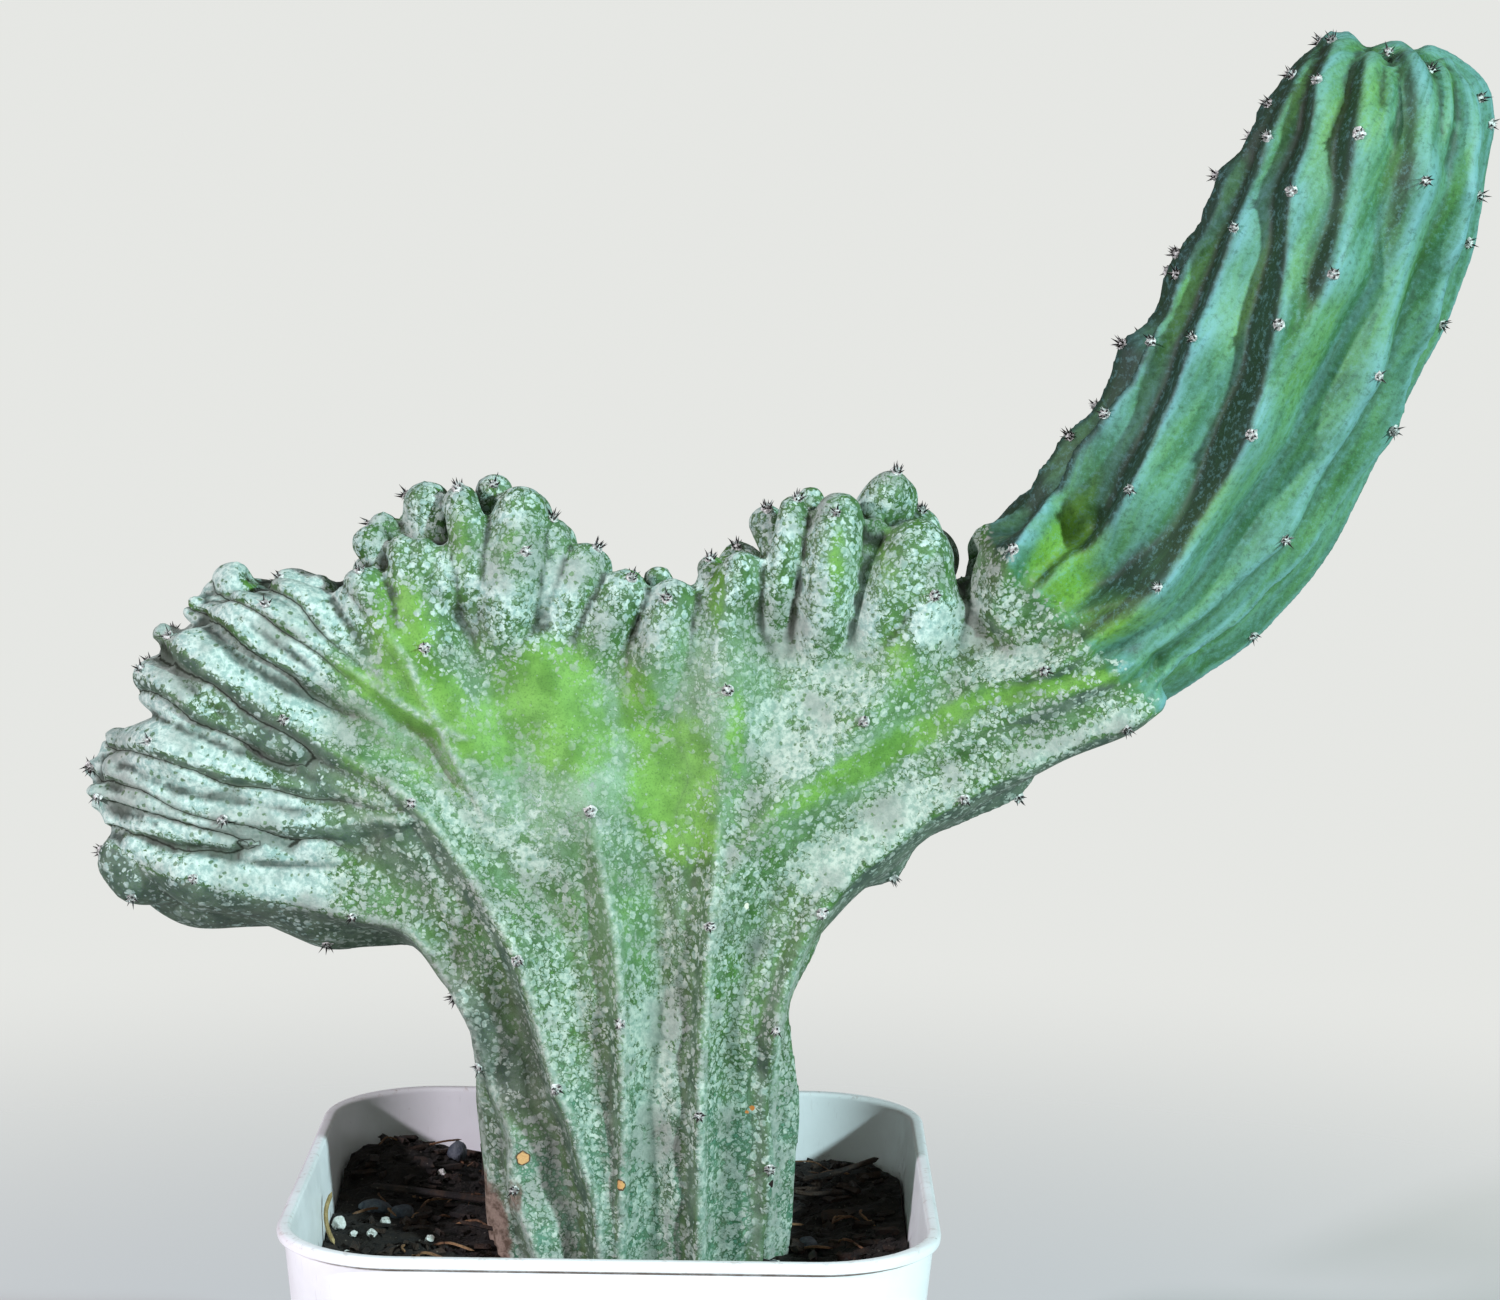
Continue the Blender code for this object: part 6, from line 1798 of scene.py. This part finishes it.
# The grains that stand out in the photo: x, y and size in mm
PERLITE = [
    (-67.2, 8, 3.8), (-56, 7.6, 2.6), (-58.4, 0, 2.4), (-63, 2.5, 1.9), (-44.5, -1, 2.2), (38, -6, 2.4),
]
STONES = [(-60, 22, 9.0), (-53, 19, 7.0), (-47, -24, 5.5), (38, -10, 6.0), (46, 8, 5.0)]
PEBBLES = [(-42.5, 57, 5.5)]
# Strands: their points in mm, and radius
STRAWS = [([(-67, -3, 106), (-69, 0, 109), (-69.6, 2, 113), (-68.4, 4, 117)], 0.55)]
TWIGS = [
    ([(-35.7, 52, 104), (-35.3, 52, 111), (-35.9, 52, 117)], 0.6),
    ([(-62, 30, 111), (-46, 26, 110.5), (-30, 24, 109), (-20, 22, 108)], 0.9),
    ([(-38, 4, 110), (-27, 2, 108.6), (-15, 6, 107)], 0.5),
    ([(44, 40, 111), (54, 38, 114), (64, 40, 117)], 0.7),
    ([(36, 34, 112), (45, 32, 110), (56, 33, 110)], 0.6),
    ([(40, -36, 108), (49, -42, 108.5), (56, -50, 108)], 0.45),
    ([(41, -41, 108.5), (48, -40, 109), (58, -44, 108)], 0.35),
]

crumbs_bm, chips_bm, fibres_bm = bmesh.new(), bmesh.new(), bmesh.new()
perlite_bm, stones_bm, straw_bm, twigs_bm = bmesh.new(), bmesh.new(), bmesh.new(), bmesh.new()
for _ in range(CRUMB_COUNT):
    size = chance.uniform(1.0, 2.6)
    add_lump(crumbs_bm, free_place(), (size, size * 0.8, size * 0.7), 1, 0.35)
for _ in range(CHIP_COUNT):
    length = chance.uniform(2.2, 6.5)
    point = free_place() + Vector((0, 0, chance.uniform(0.1, 1.0)))
    add_chip(chips_bm, point, (length, length * chance.uniform(0.25, 0.5), chance.uniform(0.8, 1.7)))
for _ in range(FIBRE_COUNT):
    start, turn = free_place(), chance.uniform(0, math.tau)
    reach, bow = chance.uniform(5, 13), chance.uniform(-2.5, 2.5)
    along = Vector((math.cos(turn), math.sin(turn), 0))
    aside = Vector((-math.sin(turn), math.cos(turn), 0))
    middle = start + along * reach / 2 + aside * bow + Vector((0, 0, chance.uniform(0.8, 2.5)))
    end = start + along * reach + Vector((0, 0, chance.uniform(0.2, 1.6)))
    limit = wall_inside(SOIL_LEVEL) - 1.5
    if abs(end.x) < limit and abs(end.y) < limit:
        add_strand(fibres_bm, [start, middle, end], chance.uniform(0.18, 0.38), 4)
for x, y, size in PERLITE:
    point = bed_point(x, y) + Vector((0, 0, size * 0.35))
    add_lump(perlite_bm, point, (size, size * 0.9, size * 0.8), 3, 0.25)
for _ in range(PERLITE_COUNT):
    size = chance.uniform(1.4, 2.4)
    add_lump(perlite_bm, free_place(), (size, size, size * 0.9), 2, 0.25)
for x, y, size in STONES:
    point = bed_point(x, y) + Vector((0, 0, size * 0.1))
    add_lump(stones_bm, point, (size, size * 0.8, size * 0.6), 3, 0.12, 0.9)
for x, y, size in PEBBLES:
    point = bed_point(x, y) + Vector((0, 0, size * 0.4))
    add_lump(stones_bm, point, (size, size * 0.9, size), 3, 0.08, 0.9)
for points_on_it, radius in STRAWS:
    add_strand(straw_bm, points_on_it, radius, 6)
for points_on_it, radius in TWIGS:
    add_strand(twigs_bm, points_on_it, radius, 6)

bed.data.materials.append(peat_paint)
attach(bed, "root")
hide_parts("soil")
loose_piece("soil_crumbs", crumbs_bm, peat_paint)
loose_piece("bark_chips", chips_bm, bark_paint)
loose_piece("root_fibres", fibres_bm, fibre_paint)
loose_piece("perlite_grains", perlite_bm, perlite_paint)
loose_piece("soil_stones", stones_bm, stone_paint)
loose_piece("straw", straw_bm, straw_paint)
loose_piece("twigs", twigs_bm, bark_paint)

# %% [markdown]
# ## The pot
#
# The pot is a square moulded one of white plastic with round corners, thin walls that lean
# outwards and a small rolled lip. Lathing can't make a square form, so the wall is drawn like
# the real mould is cut: one rounded square is extruded ring by ring from the underside up over
# the lip and down inside to the floor. Drain holes are cut through the floor afterwards.

# %% The pot's wall, lip and floor
CORNER_STEPS = 16
ROUND_STEPS = 5
BASE_FILLET = 2.0
LIP_ROUND = 1.1
DRAIN_RADIUS = 4.5
DRAIN_SPACING = 50.0
DRAIN_SIDES, DRAIN_CUT = 32, 10


def arc(middle_half, middle_height, radius_out, radius_up, start, end):
    """Rings that follow an arc of the profile: half widths and heights."""
    rings = []
    for k in range(ROUND_STEPS + 1):
        angle = math.radians(lerp(start, end, k / ROUND_STEPS))
        half = middle_half + radius_out * math.cos(angle)
        rings.append((half, middle_height + radius_up * math.sin(angle)))
    return rings


rim_half = POT_WIDTH / 2
under_lip = POT_HEIGHT - RIM_DEPTH
profile = [
    *arc(wall_outside(0) - BASE_FILLET, BASE_FILLET, BASE_FILLET, BASE_FILLET, -90, 0),
    (wall_outside(under_lip - 1.2), under_lip - 1.2),
    (wall_outside(under_lip) - 0.1, under_lip - 0.3),
    (rim_half - RIM_REACH * 0.5, under_lip),
    (rim_half - RIM_REACH * 0.12, under_lip + 0.35),
    *arc(rim_half - LIP_ROUND, POT_HEIGHT - LIP_ROUND, LIP_ROUND, LIP_ROUND, 0, 90),
    *arc(wall_inside(POT_HEIGHT) + LIP_ROUND, POT_HEIGHT - LIP_ROUND, LIP_ROUND, LIP_ROUND, 90, 180),
    (wall_inside(under_lip), under_lip),
    (wall_inside(SOIL_LEVEL), SOIL_LEVEL),
    (wall_inside(FLOOR_THICKNESS), FLOOR_THICKNESS),
]
pot_bm = bmesh.new()
bmesh.ops.create_grid(pot_bm, x_segments=1, y_segments=1, size=profile[0][0])
bmesh.ops.bevel(
    pot_bm, geom=pot_bm.verts[:], offset=profile[0][0] * RIM_CORNER / rim_half,
    segments=CORNER_STEPS, profile=0.5, affect="VERTICES", offset_type="OFFSET", material=-1)
half_width, height_now = profile[0]
ring_edges = pot_bm.edges[:]
for next_half, next_height in profile[1:]:
    drawn = bmesh.ops.extrude_edge_only(pot_bm, edges=ring_edges)["geom"]
    ring = [part for part in drawn if isinstance(part, bmesh.types.BMVert)]
    ring_edges = [part for part in drawn if isinstance(part, bmesh.types.BMEdge)]
    ring_edges = [edge for edge in ring_edges if all(vert in ring for vert in edge.verts)]
    bmesh.ops.scale(pot_bm, vec=(next_half / half_width, next_half / half_width, 1), verts=ring)
    bmesh.ops.translate(pot_bm, vec=(0, 0, next_height - height_now), verts=ring)
    half_width, height_now = next_half, next_height
bmesh.ops.edgeloop_fill(pot_bm, edges=ring_edges)
bmesh.ops.recalc_face_normals(pot_bm, faces=pot_bm.faces)
bmesh.ops.scale(pot_bm, vec=(MM, MM, MM), verts=pot_bm.verts)
pot = new_piece("white_pot", pot_bm)

drains_bm = bmesh.new()
for corner in ((-1, -1, 0), (1, -1, 0), (1, 1, 0), (-1, 1, 0)):
    bmesh.ops.create_cone(
        drains_bm, cap_ends=True, segments=DRAIN_SIDES, radius1=DRAIN_RADIUS * MM,
        radius2=DRAIN_RADIUS * MM, depth=DRAIN_CUT * MM,
        matrix=Matrix.Translation(Vector(corner) * DRAIN_SPACING / 2 * MM))
drains = new_piece("drain_cutter", drains_bm)
drill = pot.modifiers.new("drains", "BOOLEAN")
drill.operation = "DIFFERENCE"
drill.object = drains
apply_modifiers(pot)
bpy.data.objects.remove(drains)
pot.data.shade_smooth()
pot.data.set_sharp_from_angle(angle=math.radians(35))
places, facings, _ = read_points(pot.data)
keep(pot.data, "inside", ((places * facings)[:, :2].sum(axis=1) < 0).astype(float))
print("the pot has", len(pot.data.polygons), "faces, from", len(profile), "rings")

# %% [markdown]
# The plastic is satin white and has been used: a thin brown line of dirt sits in the groove under
# the lip, the lip has small brown nicks, the inside is stained where wet soil has splashed, and
# faint scuffs run down the walls. Each mark follows height, so it is a mask of the height broken
# up by a noise.

# %% White plastic
PLASTIC = (screen(236, 238, 236), screen(246, 248, 247))
DIRT = screen(128, 104, 84)
SOIL_STAIN = screen(92, 78, 66)

plastic, pot_tree, pot_shader = new_material("white_plastic")
pot_place = object_place(pot_tree)
axes = add("SeparateXYZ", {0: pot_place})
pot_height = times(axes.outputs["Z"], 1 / MM)
pot_tone = tones(pot_place, 26.0, PLASTIC)


def band(level, reach):
    """1 at a height and 0 a reach above or below it."""
    away = number("ABSOLUTE", number("SUBTRACT", pot_height, level))
    return between(away, reach * 0.3, reach, 1.0, 0.0)


patchy = grain(pot_place, 6.0, 4.0, 0.7)
inside_pot = stored(pot_tree, "inside")
outside_pot = number("SUBTRACT", 1.0, inside_pot)
groove = times(band(under_lip - 0.15, 0.75), between(patchy, 0.3, 0.6, 0.35, 0.95))
groove = times(groove, outside_pot)
pot_tone = over(groove, pot_tone, DIRT)
nicks = dots(pot_place, 3.5, 0.14, 0.13)
on_lip = times(nicks, between(pot_height, under_lip - 2, under_lip + 0.5, 0.12, 0.7))
pot_tone = over(on_lip, pot_tone, DIRT)
lip_wear = times(band(POT_HEIGHT - 0.2, 0.9), between(
    grain(pot_place, 2.5, 4.0, 0.7), 0.52, 0.68, 0, 0.4))
pot_tone = over(lip_wear, pot_tone, screen(176, 158, 142))
rising = number("MULTIPLY_ADD", patchy, 26.0, SOIL_LEVEL - 11.0)
splash = number("LESS_THAN", pot_height, POT_HEIGHT - RIM_DEPTH)
splash = times(times(splash, inside_pot), between(
    number("SUBTRACT", rising, pot_height), -2, 6, 0, 0.75))
pot_tone = over(splash, pot_tone, SOIL_STAIN)
dirt_dots = dots(pot_place, 7.0, 0.2, 0.09)
pot_tone = over(times(dirt_dots, 0.6), pot_tone, screen(110, 96, 84))
drawn_out = add("Mapping", {"Vector": pot_place, "Scale": (1.0, 1.0, 0.06)}).outputs[0]
scuffs = between(grain(drawn_out, 0.8, 3.0, 0.7), 0.6, 0.75, 0, 0.22)
pot_tone = over(scuffs, pot_tone, screen(196, 192, 186))
pot_tree.links.new(pot_tone, pot_shader.inputs["Base Color"])
pot_tree.links.new(between(patchy, 0.3, 0.7, 0.32, 0.48), pot_shader.inputs["Roughness"])
pot_bump = add("Bump", {
    "Height": grain(pot_place, 1.5, 4.0), "Strength": 0.25, "Distance": 0.1 * MM})
pot_tree.links.new(pot_bump.outputs[0], pot_shader.inputs["Normal"])
pot.data.materials.clear()
pot.data.materials.append(plastic)
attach(pot, "root")
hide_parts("pot")
print("plastic nodes:", len(pot_tree.nodes))
